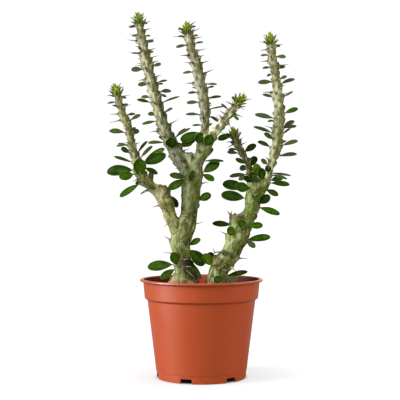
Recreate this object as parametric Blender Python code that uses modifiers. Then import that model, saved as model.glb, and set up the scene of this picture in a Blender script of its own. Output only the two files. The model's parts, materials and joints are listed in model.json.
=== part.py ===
"""Madagascar ocotillo (Alluaudia procera) in a round grower's pot.

Metres, +Z up. The origin is the middle of the pot's foot ring, on the surface it stands on,
and -Y is the front. Two plants share the pot: the left one forks into two limbs that carry
four branches, and the right one carries two. Stems and leaves are listed in millimetres
as they look from the front, at STAND_OFF from the pot's axis with the eye at EYE_HEIGHT,
with their depth beside them, and seen() carries each point to its real place.
"""

import math
import random

import bmesh
import bpy
from mathutils import Matrix, Vector
from mathutils.geometry import intersect_point_line

MM = 0.001
TOUCH_GAP = 0.3 * MM
MERGE = 0.00002

# The view that the plant is laid out in
STAND_OFF = 1061.0
EYE_HEIGHT = 187.4
EYE_SIDE = -1.5

# Pot
POT_HEIGHT = 105.0
RIM_RADIUS = 65.0
LIP_HEIGHT = 3.0
COLLAR_TOP_RADIUS = 61.6
COLLAR_FOOT_RADIUS = 60.3
COLLAR_FOOT = 85.2
COLLAR_STEP = 5.7
WALL_TOP_RADIUS = 57.0
FOOT_RADIUS = 47.0
FOOT_RING = 2.2
EDGE_ROUND = 0.6
STEP_ROUND = 1.5
LIP_WIDTH = 3.6
FLOOR_UNDERSIDE = 6.0
WALL = 1.4
POT_SIDES = 44
NOTCHES = 6
NOTCH_WIDTH = 12.5
NOTCH_HEIGHT = 5.0
FIRST_NOTCH = -19.5
DRAIN_RADIUS = 4.0
DRAIN_CIRCLE = 35.0
DRAIN_SIDES = 12

# Soil
SOIL_TOP = 92.0
SOIL_SIDES = 28
SOIL_RINGS = (48.0, 32.0, 15.0)
SOIL_SWELL = 1.0
SOIL_LUMPS = (7.0, 6.0, 4.5)
SOIL_EDGE = 1.0
HOLE_ABOVE_SOIL = 8.0

# Stems
TRUNK_SIDES = 10
BRANCH_SIDES = 8
RING_STEP = 6.2
TUBERCLE = 0.055
RING_TWIST = math.radians(7.0)
ROOT_END = 62.0
PLAIN_BELOW = 98.0

# Spines
SPINE_STEP = 4.5
SPINE_LENGTH = (7.5, 11.0)
SPINE_RADIUS = 0.55
SPINE_RISE = 0.22
SPINE_SUNK = 1.6
GOLDEN_ANGLE = math.radians(137.508)

# Leaves
BLADE = 0.7
SMALL_LEAF_STEP = 3
SMALL_LEAF_LENGTH = (6.0, 9.0)
SMALL_LEAF_WIDTH = 3.8
SMALL_LEAF_RISE = 0.35
SMALL_LEAF_ABOVE = 1.2
SMALL_LEAF_SUNK = 1.4
BROAD_FROM = 7.0
BROAD_STATIONS = ((0.0, 0.22), (0.42, 0.88), (0.8, 0.86))
SMALL_STATIONS = ((0.55, 1.0),)
LEAF_ARCH = 0.10
LEAF_CUP = 0.07
LEAF_SUNK = 0.5
LEAF_PLACE_STEP = 1.0

# Room that the rule-placed repeats keep
SPINE_ROOM = 1.0
LEAF_ROOM = 2.5
SOIL_ROOM = 6.0
BURIED = 0.4
FRONT_AND_BACK = 0.75

# Apical tufts
TUFT_LEAVES = 7
TUFT_LENGTH = 9.0
TUFT_WIDTH = 3.4
TUFT_LEANS = (0.3, 0.75)
TUFT_SUNK = 2.0
TUFT_SPREAD = 0.6

# Every tube of each leafy stem: rows of (across, height, depth, width)
TUBES = {
    "left_trunk": [
        [(-20, ROOT_END, -2, 15), (-20, 80, -2, 20), (-20, 92, -2, 27), (-20, 98, -2, 29),
         (-19.5, 105, -2, 23.5), (-18, 110, -2, 21), (-19.5, 120, -2, 19.5),
         (-21, 130, -2, 19), (-22.5, 140, -1, 21), (-21, 150, 0, 23), (-17, 160, 0, 22),
         (-14, 170, 1, 19), (-13, 180, 2, 17.5), (-11, 190, 2, 20.5), (-11, 200, 2, 22),
         (-10.5, 209, 2, 22.5), (-9.5, 215, 2, 19), (-9.5, 219, 2, 9)],
        [(-20, 146, 0, 14), (-27, 158, -3, 15), (-33, 170, -5, 14), (-36, 180, -6.5, 16),
         (-40.5, 190, -8, 17), (-42, 197, -9, 18), (-41.5, 203, -9, 11)],
        [(-8, 206, 1, 10), (-5, 215, 1, 12.5), (-4, 221, 0, 12), (-2.5, 230, -1, 12.5),
         (2, 240, -2, 15), (4, 250, -3, 18), (5, 256, -3, 18), (5.5, 260, -3, 13)],
        [(-10, 208, 7, 8), (-11, 222, 7, 6), (-12, 232, 8, 7.5), (-12.5, 238, 9, 9.5)],
    ],
    "left_branch_low": [
        [(-46, 196, -9, 11), (-52, 200.5, -11, 13), (-58, 206, -13, 13.5),
         (-63, 212, -15, 14), (-67, 220, -17, 12.5), (-69, 230, -19, 11),
         (-72, 240, -21, 9.8), (-75, 250, -23, 9), (-77, 260, -25, 9), (-80, 270, -27, 9.5),
         (-84, 280, -28, 9), (-87, 290, -29, 8), (-89.5, 300, -30, 6.5),
         (-91, 304.5, -30.5, 3.5)],
    ],
    "left_branch_tall": [
        [(-14.5, 206, 2, 11), (-17, 213, 2.5, 13), (-19.5, 222, 3, 14), (-24, 230, 4, 16),
         (-28, 240, 6, 18.5), (-33, 250, 8, 15.5), (-38, 260, 10, 15), (-41.5, 270, 12, 14),
         (-44.5, 280, 14, 13.5), (-47, 290, 16, 14), (-50, 300, 18, 13.5),
         (-52.5, 310, 20, 13), (-55, 320, 22, 11.5), (-57, 330, 23.5, 11.5),
         (-59.5, 340, 25, 11), (-61.5, 350, 26, 10), (-64, 360, 27, 10),
         (-65, 370, 27.5, 8.5), (-66, 377, 28, 6), (-66.5, 380, 28, 3.5)],
    ],
    "left_branch_middle": [
        [(4, 256, -3, 8), (3.7, 262, -3, 8.5), (4, 270, -3, 10), (4, 280, -3, 12),
         (3, 290, -3, 12.5), (1.5, 300, -4, 13), (-1, 310, -5, 14), (-3, 320, -6, 13),
         (-5.5, 330, -7, 12), (-8.5, 340, -8, 11), (-11.5, 350, -9, 10),
         (-13.5, 360, -10, 9.5), (-15, 366, -10.5, 7.5), (-15.5, 370, -11, 3.5)],
    ],
    "left_branch_side": [
        [(9, 251, -5, 9), (12, 255, -7, 11), (16, 260.5, -10, 11), (20.5, 267, -13, 10.5),
         (25, 273, -16, 10), (30, 279.5, -19, 9.5), (35, 286, -22, 9), (39.5, 291.5, -25, 7),
         (42, 294.5, -26.5, 3.5)],
    ],
    "right_trunk": [
        [(16, ROOT_END, 3, 15), (16, 80, 3, 18), (16, 92, 3, 22), (16, 100, 3, 21.5),
         (17, 108, 3, 20.5), (20, 116, 3, 21), (26, 124, 3, 22), (31.5, 131, 2.5, 20),
         (35, 140, 1, 21), (38, 149, 0, 24), (40, 158, 0, 21.5), (39, 166, -1, 17),
         (38, 172, -2, 13)],
        [(16, 106, 3, 12), (16, 120, 2, 10), (16, 128, 1, 8.5)],
        [(43, 152, 0, 13), (48, 162, 0, 14), (51, 170, 0, 14.5), (53.5, 180, -1, 16),
         (54.5, 190, -2, 16.5), (58, 197, -2, 20), (60, 204, -2, 23), (60.5, 209, -2, 20),
         (60.5, 212, -2, 11)],
    ],
    "right_branch_tall": [
        [(65, 202, -2, 12), (67.5, 207, -2, 13), (69.5, 213, -2, 11), (72, 220, -2, 10),
         (75.5, 230, -1, 11), (78.5, 240, 0.5, 13), (80.5, 250, 2, 13), (81, 260, 4, 13),
         (82.5, 270, 6, 13), (82.5, 280, 8, 13.5), (82, 290, 10, 12.5), (81, 300, 12, 13),
         (80, 310, 13.5, 12), (78.5, 320, 15, 10.5), (77, 330, 16, 11), (75, 340, 17, 10),
         (74, 350, 18, 8.5), (73.2, 356, 18, 6.5), (73, 359, 18, 3.5)],
    ],
    "right_branch_short": [
        [(53, 204, 1, 9), (51.5, 211, 2, 9), (51, 220, 5, 8.3), (47.5, 230, 9, 8.2),
         (42, 240, 13, 8.2), (36.5, 250, 17, 8), (35, 255, 18.5, 7), (34, 259, 19.5, 3.5)],
    ],
}

# Branches and the trunk that each is seated on
SEATS = {
    "left_branch_low": "left_trunk", "left_branch_tall": "left_trunk",
    "left_branch_middle": "left_trunk", "left_branch_side": "left_trunk",
    "right_branch_tall": "right_trunk", "right_branch_short": "right_trunk",
}

# Leaves that show from the front, base to tip:
# (across, height, tip across, tip height, width, degrees the blade turns to the front,
#  how much farther back the tip lies than the base)
LEAVES = {
    "left_trunk": [
        (-1, 257, -21.5, 249, 10.5, 65, -5), (4, 258, -5, 250, 9.5, 80, -3),
        (3, 230, 11.5, 243.5, 5, 30, 3),
        (3, 228.5, 23.5, 230.5, 6, 35, -3), (1, 216, 18.5, 228, 11, 75, -3),
        (1, 215, 13.5, 208.5, 7.5, 65, -5), (-16, 211, -32.5, 214.5, 7, 75, -10),
        (-16, 209.5, -34.5, 200, 9, 80, -9), (-13, 207, -9, 217.5, 5, 70, -4),
        (-3, 187, 10, 193.5, 9.5, 70, -2), (-4, 187, -4.5, 178.5, 4.5, 60, -3),
        (-34, 193, -24, 180, 8, 65, 6), (-13, 139, -1.5, 146.5, 6, 60, -2),
        (-29, 119, -57.5, 117, 12, 65, 2), (-28, 115, -43.5, 104.5, 8.5, 65, -4),
        (-29, 120, -29, 132, 10, 80, -5), (-12, 133, 4, 117.5, 12, 70, -12),
        (-10, 122, -3, 104.5, 4, 40, -3),
    ],
    "left_branch_low": [
        (-71, 219, -101, 219, 13, 65, 3), (-71, 215, -87, 212, 10.5, 70, -7),
        (-66, 212, -64.5, 231, 11.5, 85, -3), (-73, 227, -92.5, 234.5, 6, 35, 2),
        (-76, 237, -85, 243, 6.5, 60, -3), (-78, 245, -88.5, 248, 3.5, 20, 2),
        (-79, 246, -90.5, 245, 3.5, 20, -3), (-81, 259, -98, 262, 5, 45, 2),
        (-67, 238, -58, 251, 4, 25, 2), (-64, 232, -53, 245.5, 4.5, 35, -2),
        (-61.5, 226, -40, 243.5, 8, 60, 1), (-61, 225, -38.5, 236, 11.5, 75, -8),
        (-60, 222, -46.5, 216, 6.5, 60, -3), (-65, 205, -87, 191.5, 8, 60, -2),
        (-57, 205, -50, 199.5, 4, 80, -2), (-84, 296, -79.5, 296.5, 3, 30, 2),
        (-82, 289, -78, 288.5, 3, 30, -2), (-79, 277.5, -70, 280, 4, 25, 2),
        (-75, 272, -65, 278.5, 4.5, 35, -2), (-72, 257, -67, 262.5, 5, 55, 2),
        (-91, 291.5, -100, 290.5, 3, 25, 2),
    ],
    "left_branch_tall": [
        (-31, 241, -32.5, 253, 13, 85, -3), (-40, 248.5, -57, 249.5, 4.5, 30, 2),
        (-27, 254, -17, 264.5, 3.5, 30, 3), (-27, 253.5, -12.5, 265, 3.5, 30, -3),
        (-21, 245, -10, 247.5, 5, 50, -3), (-69, 371.5, -77, 371.5, 3.5, 30, 2),
        (-68, 362.5, -73.5, 361.5, 3, 25, -2), (-65, 343, -74, 344, 3, 25, 2),
        (-62, 326, -74.5, 326, 5.5, 45, -3), (-58, 310, -67.5, 310.5, 5, 45, 3),
        (-55, 296.5, -64, 297.5, 4.5, 30, 3), (-54, 290.5, -68, 295, 6, 45, -3),
        (-50, 277.5, -56.5, 280, 5, 40, 2), (-48, 271, -63, 268.5, 4.5, 25, -3),
        (-41, 251, -45, 255.5, 3.5, 30, 2), (-61, 375, -57, 375, 3, 25, 2),
        (-59, 361.5, -54, 362, 3, 25, 2), (-57, 354.5, -50.5, 356.5, 4, 30, -2),
        (-55, 343.5, -51, 345.5, 3, 25, 2), (-51, 329.5, -43, 332, 4.5, 40, -3),
        (-46, 312, -36.5, 315.5, 3.5, 25, 2), (-44, 302.5, -32, 304, 5, 35, 2),
        (-44, 299.5, -37, 297, 3.5, 30, -2), (-41, 291, -23.5, 299.5, 3.5, 20, 3),
        (-38, 280, -31, 285.5, 4, 30, -2),
    ],
    "left_branch_middle": [
        (-18, 361.5, -25, 361.5, 3, 25, 2), (-19, 369, -25, 369, 3, 25, -2),
        (-16, 351.5, -27, 350.3, 4, 35, -2), (-9.5, 323.5, -20, 323, 4, 30, 3),
        (-5, 302, -14.5, 301.5, 4, 30, 2), (-3, 291, -15.5, 291, 4.5, 35, -3),
        (-2, 278, -17, 279.5, 4, 30, 3), (0.5, 267, -10, 267.5, 3, 30, 2),
        (-11, 370, -6, 372.5, 3, 25, 2), (-6, 353.5, 2, 356, 3, 25, 2),
        (5, 310, 16.5, 311, 3.5, 25, -3), (7, 295.5, 21, 298.5, 4, 30, 2),
        (9, 283.5, 24, 287.5, 3, 20, -3), (8, 277, 19, 271, 6, 45, 5),
    ],
    "left_branch_side": [
        (11, 257, 7.5, 246.5, 10, 85, -6), (37, 291, 33, 298, 3.5, 40, 2),
        (28, 283, 21, 290, 3, 35, -2), (33, 278, 39.5, 272.5, 3.5, 30, -3),
    ],
    "right_trunk": [
        (11, 119, 3.5, 127.5, 8.5, 80, -4), (12.5, 123, 8, 131, 7, 70, 4),
        (33, 160.5, 11.5, 163.5, 7.5, 60, 2), (34, 149, 29, 158.5, 8.5, 85, -4),
        (49, 158, 39.5, 164.5, 7.5, 65, -6), (51, 162, 57.5, 174.5, 8.5, 65, 6),
        (49, 160, 65, 161, 8, 60, -3), (48, 144.5, 73.5, 149.5, 9, 60, 2),
        (48, 145, 57, 137.5, 4.5, 55, -4), (26, 106, 49, 112.5, 6.5, 55, 2),
        (24, 104, 39, 103.5, 4.5, 50, -4), (60, 180, 83.5, 173.5, 8.5, 55, -3),
        (61, 183, 72.5, 192, 9.5, 75, -4), (47, 189, 21.5, 194, 12, 70, -3),
        (48, 199.5, 22.5, 206, 12, 70, 4), (51, 199.5, 37, 202, 11, 75, -6),
        (52.5, 196, 60, 186, 6.5, 85, -3), (62, 209, 60, 225.5, 12, 80, -6),
        (68.5, 198.5, 81.5, 193, 7, 65, -3),
    ],
    "right_branch_tall": [
        (73, 205.5, 94, 204.5, 7, 60, 3), (72.5, 208, 86.5, 211.5, 7, 65, -3),
        (74.5, 216, 95.5, 214.5, 4, 20, 2), (74, 214, 91, 211, 4, 25, -4),
        (71, 216, 70.5, 223.5, 7, 85, -4),
        (70, 225, 63.5, 230.5, 4.5, 50, -3), (82, 234, 101.5, 237, 5, 30, 3),
        (86, 245, 102, 251, 5, 35, -3), (73, 243.5, 60, 250.5, 5, 35, 2),
        (75.5, 251.5, 67, 258.5, 6.5, 60, -3), (76, 258.5, 55.5, 266, 4.5, 30, 3),
        (77, 273.5, 57.5, 279.5, 5, 45, -3), (77, 271.5, 70, 271.5, 3.5, 25, 3),
        (88, 279, 102, 285.5, 6.5, 60, -2), (87, 264.5, 98.5, 272.5, 4.5, 45, 3),
        (87, 263.5, 101, 266.5, 4, 40, -3), (86.5, 257, 94, 264.5, 3, 20, 2),
        (87, 296, 97, 303, 3.5, 25, -2), (76, 296.5, 65, 300.5, 4, 35, 2),
        (75, 312.5, 60.5, 313, 5, 45, -3), (84.5, 311, 99, 317, 4.5, 35, 3),
        (83, 315.5, 90.5, 319, 4, 40, -3), (75, 321, 69, 319.5, 4, 30, 3),
        (73, 328, 65, 328, 3.5, 30, -3), (81.5, 327, 89, 330, 4, 35, 2),
        (71, 341.5, 62.5, 341.5, 3.5, 30, 2), (79, 339, 89.5, 340, 4.5, 40, -2),
        (77.5, 351, 84, 351, 3.5, 30, 2),
    ],
    "right_branch_short": [
        (48.5, 214.5, 29.5, 213.5, 5, 35, 3), (49, 213, 39.5, 209, 4.5, 45, -3),
        (48, 225.5, 36.5, 231.5, 6, 60, -2), (49, 220, 40.5, 222.5, 5.5, 60, 2),
        (45, 238, 57.5, 246.5, 8, 65, -3), (39, 237, 27.5, 238.5, 4.5, 35, -3),
        (38, 241, 28.5, 241.5, 4, 30, 3), (52, 222, 57.5, 234.5, 8.5, 70, 4),
        (33, 257, 17.5, 252, 8, 65, -3),
    ],
}

COLOURS = {
    "pot": ((0.42, 0.105, 0.035), 0.42), "soil": ((0.035, 0.022, 0.014), 0.95),
    "trunk": ((0.22, 0.25, 0.13), 0.75), "branch": ((0.25, 0.31, 0.17), 0.7),
}


def seen(across, height, depth):
    """The real place of a point that looks to be at (across, height) from the front."""
    spread = 1.0 + depth / STAND_OFF
    return Vector((EYE_SIDE + (across - EYE_SIDE) * spread, depth,
                   EYE_HEIGHT + (height - EYE_HEIGHT) * spread)) * MM


def material(name, kind):
    colour, roughness = COLOURS[kind]
    finish = bpy.data.materials.new(name)
    finish.use_nodes = True
    shader = finish.node_tree.nodes["Principled BSDF"]
    shader.inputs["Base Color"].default_value = (*colour, 1.0)
    shader.inputs["Roughness"].default_value = roughness
    finish.diffuse_color = (*colour, 1.0)
    return finish


def add_object(name, mesh, collection, finish=None):
    piece = bpy.data.objects.new(name, mesh)
    collection.objects.link(piece)
    if finish:
        mesh.materials.clear()
        mesh.materials.append(finish)
    return piece


def add_cutter(name, mesh, collection):
    cutter = add_object(name, mesh, collection)
    cutter.hide_render = True
    cutter.display_type = "WIRE"
    return cutter


def cut(piece, cutter):
    bite = piece.modifiers.new(cutter.name, "BOOLEAN")
    bite.operation = "DIFFERENCE"
    bite.solver = "EXACT"
    bite.object = cutter


def evaluated_mesh(piece):
    """A plain mesh of the object as its modifiers leave it."""
    bpy.context.view_layer.update()
    graph = bpy.context.evaluated_depsgraph_get()
    return bpy.data.meshes.new_from_object(piece.evaluated_get(graph))


def turned(name, profile, sides, collection):
    """A profile of (radius, height) in millimetres, turned about the Z axis."""
    mesh = bpy.data.meshes.new(name)
    points = [(radius * MM, 0.0, height * MM) for radius, height in profile]
    edges = [(i, i + 1) for i in range(len(points) - 1)]
    mesh.from_pydata(points, edges, [])
    piece = add_object(name, mesh, collection)
    screw = piece.modifiers.new("turn", "SCREW")
    screw.axis = "Z"
    screw.angle = 2.0 * math.pi
    screw.steps = sides
    screw.render_steps = sides
    screw.use_merge_vertices = True
    screw.merge_threshold = MERGE
    screw.use_smooth_shade = True
    return piece


def inner_profile(inset=0.0):
    """The pot's inside from the middle of its floor to below the lip."""
    floor_top = FLOOR_UNDERSIDE + WALL
    wall_slope = (WALL_TOP_RADIUS - FOOT_RADIUS) / (COLLAR_FOOT - COLLAR_STEP)
    inside = WALL + inset
    corner = FOOT_RADIUS + wall_slope * floor_top - inside
    return [
        (0.0, floor_top + inset),
        (corner - STEP_ROUND, floor_top + inset),
        (corner, floor_top + STEP_ROUND),
        (WALL_TOP_RADIUS - inside, COLLAR_FOOT - COLLAR_STEP + EDGE_ROUND),
        (COLLAR_FOOT_RADIUS - inside, COLLAR_FOOT + EDGE_ROUND),
    ]


def make_pot(collection, cutters):
    lip_foot = POT_HEIGHT - LIP_HEIGHT
    lip = [
        (RIM_RADIUS - LIP_WIDTH, lip_foot + EDGE_ROUND),
        (RIM_RADIUS - LIP_WIDTH + 2.0 * EDGE_ROUND, POT_HEIGHT),
        (RIM_RADIUS - EDGE_ROUND, POT_HEIGHT),
        (RIM_RADIUS, POT_HEIGHT - EDGE_ROUND),
        (RIM_RADIUS, lip_foot + EDGE_ROUND),
        (RIM_RADIUS - EDGE_ROUND, lip_foot),
    ]
    outside = [
        (COLLAR_TOP_RADIUS, lip_foot - EDGE_ROUND),
        (COLLAR_FOOT_RADIUS, COLLAR_FOOT),
        (COLLAR_FOOT_RADIUS - EDGE_ROUND, COLLAR_FOOT - STEP_ROUND),
        (WALL_TOP_RADIUS + EDGE_ROUND, COLLAR_FOOT - COLLAR_STEP + STEP_ROUND),
        (WALL_TOP_RADIUS, COLLAR_FOOT - COLLAR_STEP),
        (FOOT_RADIUS, EDGE_ROUND),
        (FOOT_RADIUS - EDGE_ROUND, 0.0),
        (FOOT_RADIUS - FOOT_RING, 0.0),
        (FOOT_RADIUS - FOOT_RING, FLOOR_UNDERSIDE),
        (0.0, FLOOR_UNDERSIDE),
    ]
    pot = turned("pot", inner_profile() + lip + outside, POT_SIDES, collection)
    pot.data.materials.append(material("terracotta_plastic", "pot"))
    for i in range(NOTCHES):
        angle = math.radians(FIRST_NOTCH - 90.0 + 360.0 / NOTCHES * i)
        turn = Matrix.Rotation(angle, 4, "Z")
        notch = bmesh.new()
        bmesh.ops.create_cube(notch, size=1.0)
        depth = 4.0 * FOOT_RING * MM
        stretch = Matrix.Diagonal((depth, NOTCH_WIDTH * MM, 2.0 * NOTCH_HEIGHT * MM, 1.0))
        shift = Matrix.Translation(((FOOT_RADIUS - FOOT_RING / 2.0) * MM, 0.0, 0.0))
        bmesh.ops.transform(notch, matrix=turn @ shift @ stretch, verts=notch.verts)
        mesh = bpy.data.meshes.new(f"notch_{i + 1}")
        notch.to_mesh(mesh)
        notch.free()
        cut(pot, add_cutter(mesh.name, mesh, cutters))
        drain = bmesh.new()
        shift = Matrix.Translation((DRAIN_CIRCLE * MM, 0.0, FLOOR_UNDERSIDE * MM))
        bmesh.ops.create_cone(drain, cap_ends=True, segments=DRAIN_SIDES,
                              radius1=DRAIN_RADIUS * MM, radius2=DRAIN_RADIUS * MM,
                              depth=4.0 * WALL * MM, matrix=turn @ shift)
        mesh = bpy.data.meshes.new(f"drain_{i + 1}")
        drain.to_mesh(mesh)
        drain.free()
        cut(pot, add_cutter(mesh.name, mesh, cutters))
    pot.modifiers.new("even_shading", "WEIGHTED_NORMAL")
    return pot


def make_soil(collection, cutters, hole_meshes):
    inset = TOUCH_GAP / MM
    inside = inner_profile(inset)
    collar_slope = (COLLAR_TOP_RADIUS - COLLAR_FOOT_RADIUS) / (POT_HEIGHT - COLLAR_FOOT)
    edge = COLLAR_FOOT_RADIUS + collar_slope * (SOIL_TOP - COLLAR_FOOT) - WALL - inset
    profile = inside + [(edge, SOIL_TOP)]
    profile += [(radius, SOIL_TOP) for radius in SOIL_RINGS] + [(0.0, SOIL_TOP)]
    draft = turned("soil_draft", profile, SOIL_SIDES, collection)
    mesh = evaluated_mesh(draft)
    bpy.data.objects.remove(draft)
    mesh.name = "soil"
    wide, deep, slant = SOIL_LUMPS
    for corner in mesh.vertices:
        x, y, height = corner.co / MM
        if height > SOIL_TOP - SOIL_EDGE and math.hypot(x, y) < edge - SOIL_EDGE:
            swell = math.sin(x / wide + 1.0) * math.cos(y / deep) + math.sin((x + y) / slant)
            corner.co.z += SOIL_SWELL * (1.0 + swell) / 2.0 * MM
    soil = add_object("soil", mesh, collection, material("potting_soil", "soil"))
    for name, hole in hole_meshes.items():
        cut(soil, add_cutter(f"{name}_hole", hole, cutters))
    return soil


def smooth_path(rows, step=RING_STEP):
    """Rings along a smooth curve through the rows: (place, radius) about a step apart."""
    knots = []
    for across, height, depth, width in rows:
        radius = width / 2.0 * (1.0 + depth / STAND_OFF) * MM
        knots.append((*seen(across, height, depth), radius))
    knots = [Vector(knot) for knot in knots]
    ring = []
    for i in range(len(knots) - 1):
        before = knots[max(i - 1, 0)]
        start, end = knots[i], knots[i + 1]
        after = knots[min(i + 2, len(knots) - 1)]
        pieces = max(1, round((end.xyz - start.xyz).length / (step * MM)))
        for k in range(pieces):
            t = k / pieces
            leave, arrive = (end - before) / 2.0, (after - start) / 2.0
            ring.append(start * (2 * t**3 - 3 * t**2 + 1) + leave * (t**3 - 2 * t**2 + t)
                        + end * (3 * t**2 - 2 * t**3) + arrive * (t**3 - t**2))
    ring.append(knots[-1])
    return [(knot.xyz, knot.w) for knot in ring]


def frames(path):
    """Tangent and two cross directions at each ring, carried along without twist."""
    side = Vector((1.0, 0.0, 0.0))
    result = []
    for i in range(len(path)):
        ahead = path[min(i + 1, len(path) - 1)][0] - path[max(i - 1, 0)][0]
        ahead.normalize()
        side = (side - ahead * side.dot(ahead)).normalized()
        result.append((ahead, side, ahead.cross(side)))
    return result


def stem_mesh(name, path, sides, grow=0.0):
    """A closed tube with rows of tubercles set in a slow spiral, grown outwards if asked."""
    shape = bmesh.new()
    rings = []
    last = len(path) - 1
    for i, ((place, radius), (ahead, side, back)) in enumerate(zip(path, frames(path))):
        end = {0: -1.0, last: 1.0}.get(i, 0.0)
        bumpy = place.z > PLAIN_BELOW * MM and not end
        ring = []
        for j in range(sides):
            angle = 2.0 * math.pi * j / sides + RING_TWIST * i
            bump = TUBERCLE * (1.0 if (i + j) % 2 else -1.0) if bumpy else 0.0
            reach = (side * math.cos(angle) + back * math.sin(angle)) \
                * (radius * (1.0 + bump) + grow)
            ring.append(shape.verts.new(place + ahead * (end * grow) + reach))
        rings.append(ring)
    for low, high in zip(rings, rings[1:]):
        for j in range(sides):
            k = (j + 1) % sides
            shape.faces.new((low[j], low[k], high[k], high[j]))
    shape.faces.new(reversed(rings[0]))
    shape.faces.new(rings[-1])
    bmesh.ops.triangulate(shape, faces=shape.faces[:])
    mesh = bpy.data.meshes.new(name)
    shape.to_mesh(mesh)
    shape.free()
    return mesh


def blade_mesh(root, tip, width, normal, arch=LEAF_ARCH):
    """A closed leaf blade from root to tip: a thin arched sheet, alike on both faces."""
    along = tip - root
    length = along.length
    normal = (normal - along * normal.dot(along) / length**2).normalized()
    across = along.normalized().cross(normal)
    broad = width > BROAD_FROM * MM
    stations = BROAD_STATIONS if broad else SMALL_STATIONS
    sheet = bmesh.new()

    def corner(t, side):
        drop = normal * (arch * length * t**2)
        return sheet.verts.new(root + along * t + across * (side * width / 2.0) - drop)

    rows = [[corner(t, -share), corner(t, share)] for t, share in stations]
    if broad:
        for row, (t, _) in list(zip(rows, stations))[1:]:
            row.insert(1, corner(t, 0.0))
            row[1].co -= normal * (LEAF_CUP * width)
    end = corner(1.0, 0.0)
    if not broad:
        sheet.faces.new((corner(0.0, 0.0), rows[0][1], rows[0][0]))
    for low, high in zip(rows, rows[1:]):
        if len(low) == 2:
            sheet.faces.new((low[0], low[1], high[1]))
        for k in range(len(high) - 1):
            if len(low) == 3:
                sheet.faces.new((low[k], low[k + 1], high[k + 1]))
            sheet.faces.new((low[k], high[k + 1], high[k]))
    for k in range(len(rows[-1]) - 1):
        sheet.faces.new((rows[-1][k], rows[-1][k + 1], end))
    sheet.normal_update()
    bmesh.ops.solidify(sheet, geom=sheet.faces[:], thickness=BLADE * MM)
    bmesh.ops.recalc_face_normals(sheet, faces=sheet.faces[:])
    bmesh.ops.triangulate(sheet, faces=sheet.faces[:])
    mesh = bpy.data.meshes.new("leaf")
    sheet.to_mesh(mesh)
    sheet.free()
    return mesh


def spine_mesh(root, tip):
    """A three-sided needle."""
    along = tip - root
    needle = bmesh.new()
    bmesh.ops.create_cone(needle, cap_ends=True, segments=3, radius1=SPINE_RADIUS * MM,
                          radius2=0.0, depth=along.length)
    turn = along.to_track_quat("Z", "Y").to_matrix().to_4x4()
    place = Matrix.Translation(root + along / 2.0) @ turn
    bmesh.ops.transform(needle, matrix=place, verts=needle.verts)
    bmesh.ops.triangulate(needle, faces=needle.faces[:])
    mesh = bpy.data.meshes.new("spine")
    needle.to_mesh(mesh)
    needle.free()
    return mesh


def listed_leaves(name):
    """(root, tip, width, normal) of each leaf that the list gives for a stem."""
    rings = [ring for rows in TUBES[name] for ring in smooth_path(rows, LEAF_PLACE_STEP)]
    leaves = []
    for across, height, tip_across, tip_height, width, face, depth in LEAVES[name]:
        def miss(ring):
            base = seen(across, height, ring[0].y / MM)
            return (ring[0] - base).length - ring[1]
        centre, radius = min(rings, key=miss)
        base = seen(across, height, centre.y / MM)
        aside = max(-radius, min(radius, base.x - centre.x))
        forward = math.sqrt(max(radius**2 - aside**2, 0.0)) * (1.0 if depth > 0 else -1.0)
        surface = Vector((centre.x + aside, centre.y + forward, base.z))
        root = surface.lerp(Vector((centre.x, centre.y, base.z)), LEAF_SUNK)
        tip = seen(tip_across, tip_height, surface.y / MM + depth)
        angle = math.radians(face)
        along = (tip - root).normalized()
        flat = Vector((0.0, 0.0, 1.0)) - along * along.z
        front = Vector((0.0, -1.0, 0.0)) + along * along.y
        normal = flat.normalized() * math.cos(angle) + front.normalized() * math.sin(angle)
        leaves.append((root, tip, width * MM, normal))
    return leaves


def areoles(name):
    """(place, outward, along, radius) at even steps up each tube, by the golden angle."""
    for rows in TUBES[name]:
        path = smooth_path(rows)
        turns = frames(path)
        travelled, count = 0.0, 0
        for i in range(1, len(path)):
            (start, thick), (end, thin) = path[i - 1], path[i]
            span = (end - start).length
            while travelled < span:
                share = travelled / span
                place = start.lerp(end, share)
                ahead, side, back = turns[i]
                angle = GOLDEN_ANGLE * count
                outward = side * math.cos(angle) + back * math.sin(angle)
                yield place, outward, ahead, thick + (thin - thick) * share
                travelled += SPINE_STEP * MM
                count += 1
            travelled -= span


def gap_to(point, obstacles):
    """How far a point is clear of the nearest obstacle, a rod of its own radius."""
    nearest = math.inf
    for start, end, radius in obstacles:
        foot, share = intersect_point_line(point, start, end)
        foot = start if share < 0.0 else end if share > 1.0 else foot
        nearest = min(nearest, (point - foot).length - radius)
    return nearest


def is_clear(root, tip, obstacles, room):
    return all(gap_to(root.lerp(tip, share), obstacles) > room * MM
               for share in (0.25, 0.5, 0.75, 1.0))


def stem_rods(name):
    """The stem's own tubes as rods."""
    rods = []
    for rows in TUBES[name]:
        path = smooth_path(rows)
        for (start, thick), (end, thin) in zip(path, path[1:]):
            rods.append((start, end, max(thick, thin)))
    return rods


def leaf_rods(leaves):
    return [(root, tip, width / 2.0) for root, tip, width, _ in leaves]


def tuft_leaves(path):
    """Upright leaflets round the growing tip."""
    end, _ = path[-1]
    ahead, side, back = frames(path)[-1]
    root = end - ahead * (TUFT_SUNK * MM)
    for k in range(TUFT_LEAVES):
        angle = 2.0 * math.pi * k / TUFT_LEAVES
        outward = side * math.cos(angle) + back * math.sin(angle)
        lean = TUFT_LEANS[k % len(TUFT_LEANS)]
        tip = root + (ahead + outward * lean).normalized() * (TUFT_LENGTH * MM)
        yield root + outward * (TUFT_SPREAD * MM), tip, TUFT_WIDTH * MM, outward


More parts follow.
